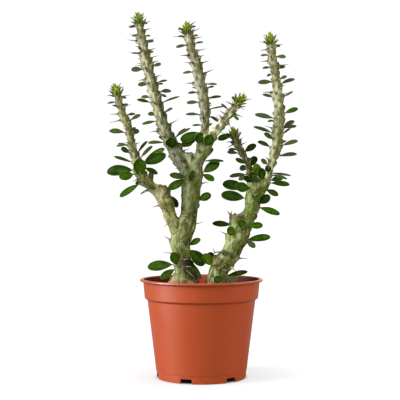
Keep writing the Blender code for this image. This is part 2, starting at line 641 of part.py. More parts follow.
def rule_placed(name, near):
    """Spines (root, tip) at the areoles, and small leaves beside some of them."""
    draw = random.Random(sum(map(ord, name)))
    spines, leaves = [], []
    own = stem_rods(name)
    for count, (place, outward, ahead, radius) in enumerate(areoles(name)):
        length = draw.uniform(*SPINE_LENGTH) * MM
        leaf_length = draw.uniform(*SMALL_LEAF_LENGTH) * MM
        surface = place + outward * radius
        tip = surface + (outward + ahead * SPINE_RISE).normalized() * length
        buried = gap_to(surface, own) < -BURIED * MM or surface.z < (SOIL_TOP + SOIL_ROOM) * MM
        if buried or not is_clear(surface, tip, near, SPINE_ROOM):
            continue
        spines.append((surface - outward * (SPINE_SUNK * MM), tip))
        if count % SMALL_LEAF_STEP or abs(outward.x) > FRONT_AND_BACK:
            continue
        root = surface + ahead * (SMALL_LEAF_ABOVE * MM)
        tip = root + (outward + ahead * SMALL_LEAF_RISE).normalized() * leaf_length
        if is_clear(root, tip, near, LEAF_ROOM):
            root -= outward * (SMALL_LEAF_SUNK * MM)
            leaves.append((root, tip, SMALL_LEAF_WIDTH * MM, ahead))
    return spines, leaves


def make_stem(name, collection, cutters, near):
    """One leafy stem: its tubes, leaves and spines joined as one solid."""
    spines, leaves = rule_placed(name, near)
    leaves += listed_leaves(name)
    if name in SEATS:
        leaves += tuft_leaves(smooth_path(TUBES[name][0]))
    sides = BRANCH_SIDES if name in SEATS else TRUNK_SIDES
    tubes = [stem_mesh(name, smooth_path(rows), sides) for rows in TUBES[name]]
    repeats = bpy.data.collections.new(f"{name}_repeats")
    bpy.context.scene.collection.children.link(repeats)
    blades = [blade_mesh(*leaf) for leaf in leaves]
    needles = [spine_mesh(*spine) for spine in spines]
    for mesh in tubes[1:] + blades + needles:
        add_object(f"{name}_repeat", mesh, repeats)
    core = add_object(f"{name}_core", tubes[0], collection)
    join = core.modifiers.new("join", "BOOLEAN")
    join.operation = "UNION"
    join.solver = "MANIFOLD"
    join.operand_type = "COLLECTION"
    join.collection = repeats
    mesh = evaluated_mesh(core)
    mesh.name = name
    for spare in [core, *repeats.objects]:
        bpy.data.objects.remove(spare)
    bpy.data.collections.remove(repeats)
    kind = "branch" if name in SEATS else "trunk"
    stem = add_object(name, mesh, collection, material(f"{name}_skin", kind))
    if name in SEATS:
        for i, rows in enumerate(TUBES[SEATS[name]]):
            path = smooth_path(rows)
            seat = stem_mesh(f"{name}_seat_{i + 1}", path, TRUNK_SIDES, TOUCH_GAP)
            cut(stem, add_cutter(seat.name, seat, cutters))
    return stem


def main():
    for piece in list(bpy.data.objects):
        bpy.data.objects.remove(piece)
    collection = bpy.data.collections.new("potted_madagascar_ocotillo")
    cutters = bpy.data.collections.new("cutters")
    for group in (collection, cutters):
        bpy.context.scene.collection.children.link(group)

    make_pot(collection, cutters)
    rods = {name: stem_rods(name) + leaf_rods(listed_leaves(name)) for name in TUBES}
    for name in TUBES:
        near = [rod for other in TUBES if other != name for rod in rods[other]]
        make_stem(name, collection, cutters, near)
    holes = {}
    for name in ("left_trunk", "right_trunk"):
        path = smooth_path(TUBES[name][0])
        buried = [ring for ring in path if ring[0].z < (SOIL_TOP + HOLE_ABOVE_SOIL) * MM]
        holes[name] = stem_mesh(f"{name}_hole", buried, TRUNK_SIDES, TOUCH_GAP)
    make_soil(collection, cutters, holes)


main()
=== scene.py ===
"""Fine pieces, finishes, light and camera for the potted Madagascar ocotillo.

Metres, +Z up, -Y to the front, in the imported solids' own frame. The pot, the soil bed with its
crumbs, and each plant's stems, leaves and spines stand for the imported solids. Stems, large
leaves and the spines that show at the sides are listed in millimetres as they look from the
front, and seen() carries each listed point to its real place.
"""

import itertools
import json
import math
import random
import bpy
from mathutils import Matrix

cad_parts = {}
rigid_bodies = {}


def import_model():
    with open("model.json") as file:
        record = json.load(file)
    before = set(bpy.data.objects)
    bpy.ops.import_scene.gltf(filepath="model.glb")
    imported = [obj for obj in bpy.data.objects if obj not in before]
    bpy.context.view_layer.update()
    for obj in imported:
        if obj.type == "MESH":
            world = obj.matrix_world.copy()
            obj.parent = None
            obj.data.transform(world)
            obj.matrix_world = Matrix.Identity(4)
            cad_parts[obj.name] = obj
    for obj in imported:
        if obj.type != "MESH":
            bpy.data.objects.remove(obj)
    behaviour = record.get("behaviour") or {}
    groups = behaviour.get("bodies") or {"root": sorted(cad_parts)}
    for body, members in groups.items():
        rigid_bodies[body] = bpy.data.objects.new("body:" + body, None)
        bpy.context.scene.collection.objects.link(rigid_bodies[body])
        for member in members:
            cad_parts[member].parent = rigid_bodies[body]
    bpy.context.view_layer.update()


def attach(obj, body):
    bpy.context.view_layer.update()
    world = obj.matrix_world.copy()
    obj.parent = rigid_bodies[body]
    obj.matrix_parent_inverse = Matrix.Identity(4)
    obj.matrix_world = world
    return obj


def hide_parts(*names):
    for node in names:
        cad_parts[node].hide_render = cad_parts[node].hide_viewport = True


bl_info = {
    "name": "Potted Madagascar Ocotillo",
    "version": (1, 0, 0),
    "blender": (4, 5, 0),
    "location": "3D View > Sidebar > Ocotillo",
    "description": "Dresses the packed solids of a potted Madagascar ocotillo",
    "category": "Add Mesh",
}

import bmesh
import bpy
import numpy as np
from bpy.props import FloatProperty, FloatVectorProperty, IntProperty, PointerProperty
from mathutils import Matrix, Vector

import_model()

MM = 0.001
BODY = "root"

# The view that the plant is laid out in
STAND_OFF = 1061.0
EYE_HEIGHT = 187.4
EYE_SIDE = -1.5

# Stems
SAMPLE_STEP = 1.0
TUBE_SIDES = 20
FILLET = 5.0 * MM
STUB_FILLET = 1.6 * MM
END_ROUND = 1.6 * MM
ROOT_END = 62
SOIL_TOP = 92.0
GOLDEN_ANGLE = math.radians(137.508)

# Every tube of each leafy stem: rows of (across, height, depth, width)
TUBES = {
    "left_trunk": [
        [(-20, ROOT_END, -2, 15), (-20, 80, -2, 20), (-20, 92, -2, 27), (-20, 98, -2, 29),
         (-19.5, 105, -2, 23.5), (-18, 110, -2, 21), (-19.5, 120, -2, 19.5),
         (-21, 130, -2, 19), (-22.5, 140, -1, 21), (-21, 150, 0, 23), (-17, 160, 0, 22),
         (-14, 170, 1, 19), (-13, 180, 2, 17.5), (-11, 190, 2, 20.5), (-11, 200, 2, 22),
         (-10.5, 209, 2, 22.5), (-9.5, 215, 2, 19), (-9.5, 219, 2, 9)],
        [(-20, 146, 0, 14), (-27, 158, -3, 15), (-33, 170, -5, 14), (-36, 180, -6.5, 16),
         (-40.5, 190, -8, 17), (-42, 197, -9, 18), (-41.5, 203, -9, 11)],
        [(-8, 206, 1, 10), (-5, 215, 1, 12.5), (-4, 221, 0, 12), (-2.5, 230, -1, 12.5),
         (1.6, 240, -2, 16.5), (3.8, 250, -3, 18.5), (5, 256, -3, 18), (5.5, 260, -3, 13)],
        [(-10, 208, 3, 8), (-11, 222, 3, 5.5), (-12, 231.5, 2, 6.5), (-12.5, 237.5, -0.5, 9.5)],
    ],
    "left_branch_low": [
        [(-46, 196, -9, 11), (-52, 200.5, -11, 13), (-58, 206, -13, 13.5),
         (-63, 212, -15, 14), (-67, 220, -17, 12.5), (-69, 230, -19, 11),
         (-72, 240, -21, 9.8), (-75, 250, -23, 9), (-77, 260, -25, 9), (-80, 270, -27, 9.5),
         (-84, 280, -28, 9), (-87, 290, -29, 8), (-89.5, 300, -30, 6.5),
         (-91, 304.5, -30.5, 3.5)],
    ],
    "left_branch_tall": [
        [(-14.5, 206, 2, 11), (-17, 213, 2.5, 13), (-19.5, 222, 3, 14), (-24, 230, 4, 16),
         (-28, 240, 6, 18.5), (-33, 250, 8, 15.5), (-38, 260, 10, 15), (-41.5, 270, 12, 14),
         (-44.5, 280, 14, 13.5), (-47, 290, 16, 14), (-50, 300, 18, 13.5),
         (-52.5, 310, 20, 13), (-55, 320, 22, 11.5), (-57, 330, 23.5, 11.5),
         (-59.5, 340, 25, 11), (-61.5, 350, 26, 10), (-64, 360, 27, 10),
         (-65, 370, 27.5, 8.5), (-66, 377, 28, 6), (-66.5, 380, 28, 3.5)],
    ],
    "left_branch_middle": [
        [(4, 256, -3, 8), (3.7, 262, -3, 8.5), (4, 270, -3, 10), (4, 280, -3, 12),
         (3, 290, -3, 12.5), (1.5, 300, -4, 13), (-1, 310, -5, 14), (-3, 320, -6, 13),
         (-5.5, 330, -7, 12), (-8.5, 340, -8, 11), (-11.5, 350, -9, 10),
         (-13.5, 360, -10, 9.5), (-15, 366, -10.5, 7.5), (-15.5, 370, -11, 3.5)],
    ],
    "left_branch_side": [
        [(9, 251, -5, 9), (12, 255, -7, 11), (16, 260.5, -10, 11), (20.5, 267, -13, 10.5),
         (25, 273, -16, 10), (30, 279.5, -19, 9.5), (35, 286, -22, 9), (39.5, 291.5, -25, 7),
         (42, 294.5, -26.5, 3.5)],
    ],
    "right_trunk": [
        [(16, ROOT_END, 3, 15), (16, 80, 3, 18), (16, 92, 3, 22), (16, 100, 3, 21.5),
         (17, 108, 3, 20.5), (20, 116, 3, 21), (26, 124, 3, 22), (31.5, 131, 2.5, 20),
         (35, 140, 1, 21), (38, 149, 0, 24), (40, 158, 0, 21.5), (39, 166, -1, 17),
         (38, 172, -2, 13)],
        [(16, 106, 3, 12), (16, 120, 2, 10), (16, 128, 1, 8.5)],
        [(43, 152, 0, 13), (48, 162, 0, 14), (51, 170, 0, 14.5), (53.5, 180, -1, 16),
         (54.5, 190, -2, 16.5), (58, 197, -2, 20), (60, 204, -2, 23), (60.5, 209, -2, 20),
         (60.5, 212, -2, 11)],
    ],
    "right_branch_tall": [
        [(65, 202, -2, 12), (67.5, 207, -2, 13), (69.5, 213, -2, 11), (72, 220, -2, 10),
         (75.5, 230, -1, 11), (78.5, 240, 0.5, 13), (80.5, 250, 2, 13), (81, 260, 4, 13),
         (82.5, 270, 6, 13), (82.5, 280, 8, 13.5), (82, 290, 10, 12.5), (81, 300, 12, 13),
         (80, 310, 13.5, 12), (78.5, 320, 15, 10.5), (77, 330, 16, 11), (75, 340, 17, 10),
         (74, 350, 18, 8.5), (73.2, 356, 18, 6.5), (73, 359, 18, 3.5)],
    ],
    "right_branch_short": [
        [(53, 204, 1, 9), (51.5, 211, 2, 9), (51, 220, 5, 8.3), (47.5, 230, 9, 8.2),
         (42, 240, 13, 8.2), (36.5, 250, 17, 8), (35, 255, 18.5, 7), (34, 259, 19.5, 3.5)],
    ],
}

PLANTS = {
    "left_plant": ("left_trunk", "left_branch_low", "left_branch_tall", "left_branch_middle",
                   "left_branch_side"),
    "right_plant": ("right_trunk", "right_branch_tall", "right_branch_short"),
}
TRUNKS = ("left_trunk", "right_trunk")

# How each tube ends: a growing tip, hidden in the next tube, sawn smooth or broken off
ENDS = {
    ("left_trunk", 0): "hidden", ("left_trunk", 1): "broken", ("left_trunk", 2): "hidden",
    ("left_trunk", 3): "sawn", ("right_trunk", 0): "broken", ("right_trunk", 1): "broken",
    ("right_trunk", 2): "hidden",
}

# Tint of each tube's skin where it starts and where it ends, and how waxy it is
TINTS = {
    ("left_trunk", 0): ((0.70, 0.76, 0.38), (0.73, 0.84, 0.55), 0.45),
    ("left_trunk", 1): ((0.76, 0.85, 0.38), (1.40, 1.30, 0.88), 0.66),
    ("left_trunk", 2): ((0.84, 0.96, 0.72), (0.94, 1.04, 0.62), 0.55),
    # The sawn stub's tint is partly its own paler skin, partly painted light that lifts it out of
    # the shade between the limbs
    ("left_trunk", 3): ((1.3, 1.42, 1.1), (1.7, 1.8, 1.4), 1.0),
    ("left_branch_low", 0): ((1.18, 1.30, 0.78), (1.22, 1.22, 0.88), 0.56),
    ("left_branch_tall", 0): ((0.88, 1.0, 0.84), (1.10, 1.05, 0.88), 0.55),
    ("left_branch_middle", 0): ((0.72, 0.76, 0.66), (1.38, 1.28, 1.25), 0.62),
    ("left_branch_side", 0): ((1.5, 1.58, 1.30), (1.58, 1.52, 1.20), 0.92),
    ("right_trunk", 0): ((1.0, 1.05, 0.60), (0.78, 0.92, 0.50), 0.44),
    ("right_trunk", 1): ((0.94, 0.98, 0.48), (0.74, 0.70, 0.30), 0.5),
    ("right_trunk", 2): ((0.62, 0.82, 0.36), (0.74, 0.90, 0.42), 0.38),
    ("right_branch_tall", 0): ((1.14, 1.22, 0.86), (0.96, 0.93, 0.74), 0.58),
    ("right_branch_short", 0): ((0.52, 0.60, 0.32), (0.90, 0.88, 0.64), 0.15),
}

# Dark patches on the front of the stems: mostly painted shade where leaves, crotches and the
# sawn stub shade them, partly dark bark at the left trunk's foot: (across, height, radius,
# strength)
PAINTED_SHADE_PATCHES = [
    (-19, 121, 7.5, 0.9), (-12, 121, 7.0, 0.95), (-16, 113, 7.0, 0.85), (-8, 107, 6.5, 0.9),
    (-3, 101, 5.0, 0.9), (57, 205, 4.0, 0.6), (60, 197, 3.5, 0.45), (50, 209, 4.0, 0.7),
    (-25, 172, 3.5, 0.6), (-4, 150, 3.0, 0.35), (22, 104, 4.0, 0.5), (34, 127, 3.5, 0.6),
    (-30, 196, 3.0, 0.5), (-21, 214, 4.0, 0.45), (-5, 226, 2.5, 0.6), (48, 158, 3.0, 0.5),
    (-17, 229, 2.5, 0.8), (-16, 222, 2.5, 0.7), (-8, 232, 2.0, 0.8), (22, 122, 3.5, 0.6),
    (28, 118, 3.0, 0.5), (15, 123, 2.5, 0.5),
]

# Brown scars on the front of the stems: (across, height, radius, strength)
SCARS = [
    (-16.5, 162, 3.2, 1.0), (-15, 150.5, 2.4, 0.8), (3, 219, 3.6, 0.9), (2.5, 227, 4.0, 0.9),
    (-66.5, 348, 2.6, 0.7), (3.5, 261, 3.4, 0.9), (17, 264, 3.4, 0.7), (-38, 193, 4.5, 0.5),
    (-37, 183, 3.0, 0.5), (-68, 234, 3.4, 0.7), (-76, 270, 2.6, 0.7), (29.4, 130, 2.6, 1.0),
    (18.6, 125, 3.4, 0.8), (-26, 214.5, 2.4, 0.5), (44, 172, 3.0, 0.6), (79, 321, 2.4, 0.8),
    (75, 345, 2.4, 0.6), (83, 284, 2.4, 0.6), (-50, 309, 3.0, 0.7), (-43, 291, 2.8, 0.6),
    (39, 143, 3.0, 0.4), (54, 203, 3.0, 0.5),
]

# Leaves that show from the front, base to tip:
# (across, height, tip across, tip height, width, degrees the blade turns to the front,
#  how much farther back the tip lies than the base, how bright its green is, if not drawn)
# The given brightness is partly painted light: it follows how bright each leaf looks from the
# front, so a leaf with light shining through it gets a brighter green and one in shade a darker
# one
LEAVES = {
    "left_trunk": [
        (-1, 259, -22, 251.5, 11, 65, -5, 0.22), (-3, 256, -20.5, 245.5, 9.5, 75, -8, 0.1),
        (4.5, 258, -5.5, 249.5, 12, 80, -3, 0.1),
        (3, 230, 11.5, 243.5, 5, 30, 3),
        (3, 228.5, 23.5, 230.5, 6, 35, -3), (1, 216, 18.5, 228, 11, 75, -3, 0.45),
        (1, 215, 13.5, 208.5, 7.5, 65, -5, 0.5), (-16, 211, -32.5, 214.5, 7, 75, -10, 0.4),
        (-16, 209.5, -34.5, 200, 9, 80, -9, 0.4), (-13, 206, -8.5, 218.5, 6, 80, -5, 0.1),
        (-3, 187, 10, 193.5, 9.5, 70, -2, 0.2), (-4, 187, -4.5, 178.5, 4.5, 60, -3),
        (-34, 193, -24, 180, 8, 65, 6, 0.1), (-13, 139, -1.5, 146.5, 7.5, 60, -2, 0.4),
        (-29, 119, -57.5, 117, 12, 65, 2, 0.32), (-28, 115, -43.5, 104.5, 8.5, 65, -4, 0.25),
        (-25.5, 118, -30, 131.5, 11, 85, -4, 0.4), (-13.5, 136, 3.5, 119, 14, 70, -2, 0.1),
        (-9, 122, 0, 104.5, 4, 50, -5), (-9, 120, -5, 105, 3.5, 60, -4),
    ],
    "left_branch_low": [
        (-71, 219, -101, 219, 13, 65, 3, 0.1), (-71, 215, -87, 212, 10.5, 70, -7, 0.5),
        (-65, 211, -65.5, 231, 14, 85, -5, 0.42), (-73, 227, -92.5, 234.5, 6, 35, 2, 0.1),
        (-76, 237, -85, 243, 6.5, 60, -3), (-78, 245, -88.5, 248, 3.5, 20, 2),
        (-79, 246, -90.5, 245, 3.5, 20, -3), (-81, 259, -98, 262, 5, 45, 2),
        (-67, 238, -58, 251, 4, 25, 2), (-64, 232, -53, 245.5, 4.5, 35, -2),
        (-61.5, 226, -40, 243.5, 8, 60, 1, 0.65), (-61, 225, -38.5, 236, 11.5, 75, -8, 0.15),
        (-60, 222, -46.5, 216, 6.5, 60, -3, 0.1), (-65, 205, -87, 191.5, 8, 60, -2, 0.4),
        (-57, 205, -50, 199.5, 4, 80, -2), (-84, 296, -79.5, 296.5, 3, 30, 2),
        (-82, 289, -78, 288.5, 3, 30, -2), (-79, 277.5, -70, 280, 4, 25, 2),
        (-75, 272, -65, 278.5, 4.5, 35, -2), (-72, 257, -67, 262.5, 5, 55, 2),
        (-91, 291.5, -100, 290.5, 3, 25, 2),
    ],
    "left_branch_tall": [
        (-31, 241, -32.5, 253, 13, 85, -3, 0.15), (-40, 248.5, -57, 249.5, 4.5, 30, 2),
        (-27, 254, -17, 264.5, 3.5, 30, 3), (-27, 253.5, -12.5, 265, 3.5, 30, -3),
        (-21, 245, -10, 247.5, 5, 50, -3), (-69, 371.5, -77, 371.5, 3.5, 30, 2),
        (-68, 362.5, -73.5, 361.5, 3, 25, -2), (-65, 343, -74, 344, 3, 25, 2),
        (-62, 326, -74.5, 326, 5.5, 45, -3), (-58, 310, -67.5, 310.5, 5, 45, 3),
        (-55, 296.5, -64, 297.5, 4.5, 30, 3), (-54, 290.5, -68, 295, 6, 45, -3),
        (-50, 277.5, -56.5, 280, 5, 40, 2), (-48, 271, -63, 268.5, 4.5, 25, -3),
        (-41, 251, -45, 255.5, 3.5, 30, 2), (-61, 375, -57, 375, 3, 25, 2),
        (-59, 361.5, -54, 362, 3, 25, 2), (-57, 354.5, -50.5, 356.5, 4, 30, -2),
        (-55, 343.5, -51, 345.5, 3, 25, 2), (-51, 329.5, -43, 332, 4.5, 40, -3),
        (-46, 312, -36.5, 315.5, 3.5, 25, 2), (-44, 302.5, -32, 304, 5, 35, 2),
        (-44, 299.5, -37, 297, 3.5, 30, -2), (-41, 291, -23.5, 299.5, 3.5, 20, 3),
        (-38, 280, -31, 285.5, 4, 30, -2), (-46, 310, -40.5, 311.5, 3, 25, 2),
    ],
    "left_branch_middle": [
        (-18, 361.5, -25, 361.5, 3, 25, 2), (-19, 369, -25, 369, 3, 25, -2),
        (-16, 351.5, -27, 350.3, 4, 35, -2), (-9.5, 323.5, -20, 323, 4, 30, 3),
        (-5, 302, -14.5, 301.5, 4, 30, 2), (-3, 291, -15.5, 291, 4.5, 35, -3),
        (-2, 278, -17, 279.5, 4, 30, 3), (0.5, 267, -10, 267.5, 3, 30, 2),
        (-11, 370, -6, 372.5, 3, 25, 2), (-6, 353.5, 2, 356, 3, 25, 2),
        (5, 310, 16.5, 311, 3.5, 25, -3), (7, 295.5, 21, 298.5, 4, 30, 2),
        (9, 283.5, 24, 287.5, 3, 20, -3), (8, 277, 19, 271, 6, 45, 5),
        (7, 306.5, 13.5, 308.5, 3, 25, 2), (-8, 361, -3.5, 363, 3, 25, 2),
    ],
    "left_branch_side": [
        (10.5, 258, 6.5, 246, 12, 85, -6, 0.1), (37, 291, 33, 298, 3.5, 40, 2),
        (28, 283, 21, 290, 3, 35, -2), (33, 278, 39.5, 272.5, 3.5, 30, -3),
    ],
    "right_trunk": [
        (11, 117.5, 3, 129.5, 9.5, 80, -16, 0.72), (12.5, 123, 7.5, 132, 8, 70, 4, 0.1),
        (33, 160.5, 11.5, 163.5, 7.5, 60, 2, 0.1), (34, 149, 29, 158.5, 9, 85, -4, 0.6),
        (49, 158, 39.5, 164.5, 9.5, 75, -6, 0.4), (51, 162, 57.5, 174.5, 9, 70, 4, 0.3),
        (49, 160, 65, 161, 8, 65, -3, 0.4), (48, 144.5, 73.5, 149.5, 9, 60, 2, 0.5),
        (48, 145, 57, 137.5, 5, 60, -4), (26, 106, 49, 112.5, 6.5, 55, 2, 0.2),
        (24, 104, 39, 103.5, 4.5, 50, -4), (24, 105, 13.5, 102.5, 8.5, 85, -12, 0.3),
        (60, 180, 83.5, 173.5, 8.5, 55, -3, 0.35),
        (61, 183, 72.5, 192, 9.5, 75, -4, 0.1), (47, 189, 21.5, 194, 12, 70, -3, 0.12),
        (48, 199.5, 22.5, 206, 12, 70, 4, 0.05), (51, 199.5, 37, 202, 11, 75, -6, 0.3),
        (52.5, 196, 60, 186, 6.5, 85, -3, 0.4), (63, 209.5, 57, 225.5, 9.5, 80, -7, 0.75),
        (66.5, 209, 62.5, 220, 9.5, 80, -10, 0.15), (58, 207, 51.5, 216, 9, 80, -8, 0.05),
        (54, 206.5, 45.5, 211.5, 7, 75, -6, 0.05), (61, 207, 54.5, 211.5, 7.5, 75, -9, 0.1),
        (68.5, 198.5, 81.5, 193, 7, 65, -3, 0.2),
    ],
    "right_branch_tall": [
        (73, 205.5, 94, 204.5, 7, 60, 3), (72.5, 208, 86.5, 211.5, 7, 65, -3),
        (74.5, 216, 95.5, 214.5, 4, 20, 2), (74, 214, 91, 211, 4, 25, -4),
        (71, 216, 70.5, 223.5, 7, 85, -4),
        (70, 225, 63.5, 230.5, 4.5, 50, -3), (82, 234, 101.5, 237, 5, 30, 3),
        (86, 245, 102, 251, 5, 35, -3), (73, 243.5, 60, 250.5, 5, 35, 2),
        (75.5, 251.5, 67, 258.5, 6.5, 60, -3), (76, 258.5, 55.5, 266, 4.5, 30, 3),
        (77, 273.5, 57.5, 279.5, 5, 45, -3), (77, 271.5, 70, 271.5, 3.5, 25, 3),
        (88, 279, 102, 285.5, 6.5, 60, -2), (87, 264.5, 98.5, 272.5, 4.5, 45, 3),
        (87, 263.5, 101, 266.5, 4, 40, -3), (86.5, 257, 94, 264.5, 3, 20, 2),
        (87, 296, 97, 303, 3.5, 25, -2), (76, 296.5, 65, 300.5, 4, 35, 2),
        (75, 312.5, 60.5, 313, 5, 45, -3), (84.5, 311, 99, 317, 4.5, 35, 3),
        (83, 315.5, 90.5, 319, 4, 40, -3), (75, 321, 69, 319.5, 4, 30, 3),
        (73, 328, 65, 328, 3.5, 30, -3), (81.5, 327, 89, 330, 4, 35, 2),
        (71, 341.5, 62.5, 341.5, 3.5, 30, 2), (79, 339, 89.5, 340, 4.5, 40, -2),
        (77.5, 351, 84, 351, 3.5, 30, 2),
    ],
    "right_branch_short": [
        (48.5, 214.5, 29.5, 213.5, 5, 35, 3), (49, 213, 39.5, 209, 4.5, 45, -3),
        (48, 225.5, 36.5, 231.5, 6, 60, -2), (49, 220, 40.5, 222.5, 5.5, 60, 2),
        (45, 238, 57.5, 246.5, 8, 65, -3), (39, 237, 27.5, 238.5, 4.5, 35, -3),
        (38, 241, 28.5, 241.5, 4, 30, 3), (52, 222, 57.5, 234.5, 8.5, 70, 4),
        (33, 257, 17.5, 252, 8, 65, -3),
    ],
}

# Spines that show from the front:
# (across, height, tip across, tip height, how stout it is, if not like the rest)
SPINES = {
    "left_trunk": [
        (-3, 162, 5, 165), (1, 205, 9, 206), (-46, 182, -55, 179.5), (-35, 164, -41, 157),
        (-33, 145, -41, 149.5), (-31, 130.5, -43, 131.5), (-20, 171, -14, 171),
        (-20, 124.5, -13, 125, 0.6), (-17, 117, -9, 117, 0.6), (-18, 115, -6, 103, 0.5),
    ],
    "left_branch_low": [
        (-91.5, 299, -103, 297.5), (-90, 279, -99, 278), (-88, 272.5, -100, 268.5),
        (-84, 297, -75, 298.5), (-81, 286, -74, 289.5), (-70, 246.5, -65, 248.5),
        (-91, 304, -98, 310), (-92, 303, -99, 307), (-91, 306, -92, 312),
        (-89, 305, -84.5, 313.5), (-88.5, 304, -81.5, 309),
    ],
    "left_branch_tall": [
        (-71, 380, -77.4, 381.8), (-70.5, 373, -80, 371), (-69.5, 362.6, -78, 363),
        (-69.5, 356.6, -80.5, 357.8), (-66.5, 350.5, -70.5, 350.5), (-66.5, 343, -78, 344),
        (-64, 337, -68.5, 337.4), (-64.5, 332, -70, 332.8), (-62.5, 330, -71.3, 330.4),
        (-60.4, 315.1, -68, 314.2), (-47, 260.5, -56, 259), (-61, 375.4, -52.5, 377.2),
        (-60, 367.8, -52.3, 369.6), (-56.7, 356.6, -47.8, 359.2), (-54.5, 346, -47.8, 348.6),
        (-53.7, 338.3, -44.6, 341), (-51.5, 333, -44.8, 335.8), (-48, 318, -41, 320.6),
        (-33, 268, -24, 273.5), (-19.5, 239.5, -11, 242.5), (-67.5, 380, -71, 388),
        (-65, 380, -60, 388),
    ],
    "left_branch_middle": [
        (-19, 361, -31.6, 361), (-15.3, 340.7, -23.7, 340.7), (-13, 333.4, -18.5, 333.4),
        (-9.2, 311.8, -17.3, 311), (-13, 373, -12.4, 378.4), (-10, 372, -5, 377.6),
        (-9.8, 365.7, 0, 369.8), (-7.1, 358.7, 2.3, 361), (-2.5, 345.6, 7, 348.6),
        (0.5, 339.5, 3.5, 341), (2.1, 333.1, 9.3, 335.7), (4.8, 321.5, 14.2, 326.3),
    ],
    "left_branch_side": [
        (38, 294.5, 35, 300.5), (33, 288, 24, 293), (25, 278.5, 18, 283),
        (22, 274.5, 17, 278.5), (40.5, 286.5, 47, 282), (36, 278.5, 45, 275),
        (29, 269, 31.5, 264.5), (42, 294, 46, 303), (44, 292, 55, 295),
    ],
    "right_trunk": [
        (44, 126, 51.5, 125.5), (32, 116, 38, 111), (26, 151, 18, 154.5),
        (23, 132, 13, 132, 1.8), (14, 132, 11.5, 137), (31, 163, 29.5, 173, 2.4),
        (29.5, 169.5, 26.5, 177, 1.6), (29.5, 169.5, 31.5, 177, 1.6),
        (17, 115, 31, 122.5, 0.5),
    ],
    "right_branch_tall": [
        (74, 264, 65, 267), (74.5, 301.5, 63.5, 301.5), (87.5, 299.5, 92.5, 301),
        (83.5, 330.5, 94, 331.5), (70.5, 335.5, 62, 334), (70, 347.5, 61, 346),
        (70, 354, 60, 356), (78, 351.5, 87.5, 352.3), (72, 359, 65, 363.5),
        (75, 359, 81, 363.5),
    ],
    "right_branch_short": [
        (32.5, 249, 25, 248.5), (34.5, 246.5, 26, 242), (37.5, 257, 41.5, 260.5),
        (36, 259, 39.5, 264.5), (38.5, 255.5, 44, 260), (40.5, 251, 45, 254),
        (42, 246, 48.5, 249),
    ],
}


def seen(across, height, depth):
    """The real place of a point that looks to be at (across, height) from the front."""
    spread = 1.0 + depth / STAND_OFF
    return Vector((EYE_SIDE + (across - EYE_SIDE) * spread, depth,
                   EYE_HEIGHT + (height - EYE_HEIGHT) * spread)) * MM


# Sizes and colours that a user would change


class PotSettings(bpy.types.PropertyGroup):
    """Sizes and finish of the moulded pot."""

    steps: IntProperty(name="Steps", description="Segments round the pot", default=192, min=48)
    arc_steps: IntProperty(name="Arc Steps", description="Segments on each rounded edge",
                           default=5, min=1)
    notches: IntProperty(name="Notches", description="Notches in the foot ring, and drain holes",
                         default=6, min=1)
    notch_width: FloatProperty(name="Notch Width", description="Width of each notch",
                               default=12.5 * MM, subtype="DISTANCE")
    notch_height: FloatProperty(name="Notch Height", description="Height of each notch",
                                default=5.0 * MM, subtype="DISTANCE")
    colour: FloatVectorProperty(name="Plastic", description="Colour of the moulded plastic",
                                subtype="COLOR", size=3, min=0.0, max=1.0,
                                default=(0.42, 0.062, 0.012))
    roughness: FloatProperty(name="Roughness", description="How satin the plastic is",
                             default=0.36, min=0.0, max=1.0, subtype="FACTOR")


class SoilSettings(bpy.types.PropertyGroup):
    """The soil bed and what lies on it."""

    rings: IntProperty(name="Rings", description="Rings of the bed's top", default=64, min=8)
    sides: IntProperty(name="Sides", description="Segments round the bed", default=144, min=24)
    lumps: FloatProperty(name="Lumps", description="Height of the bed's lumps",
                         default=2.4 * MM, subtype="DISTANCE")
    crumbs: FloatProperty(name="Crumbs", description="Crumbs on a square metre",
                          default=260000.0, min=0.0)
    chips: FloatProperty(name="Bark Chips", description="Bark chips on a square metre",
                         default=11000.0, min=0.0)
    grit: FloatProperty(name="Pale Grit", description="Pale grains on a square metre",
                        default=17000.0, min=0.0)
    seed: IntProperty(name="Seed", description="Seed of the random places", default=11)


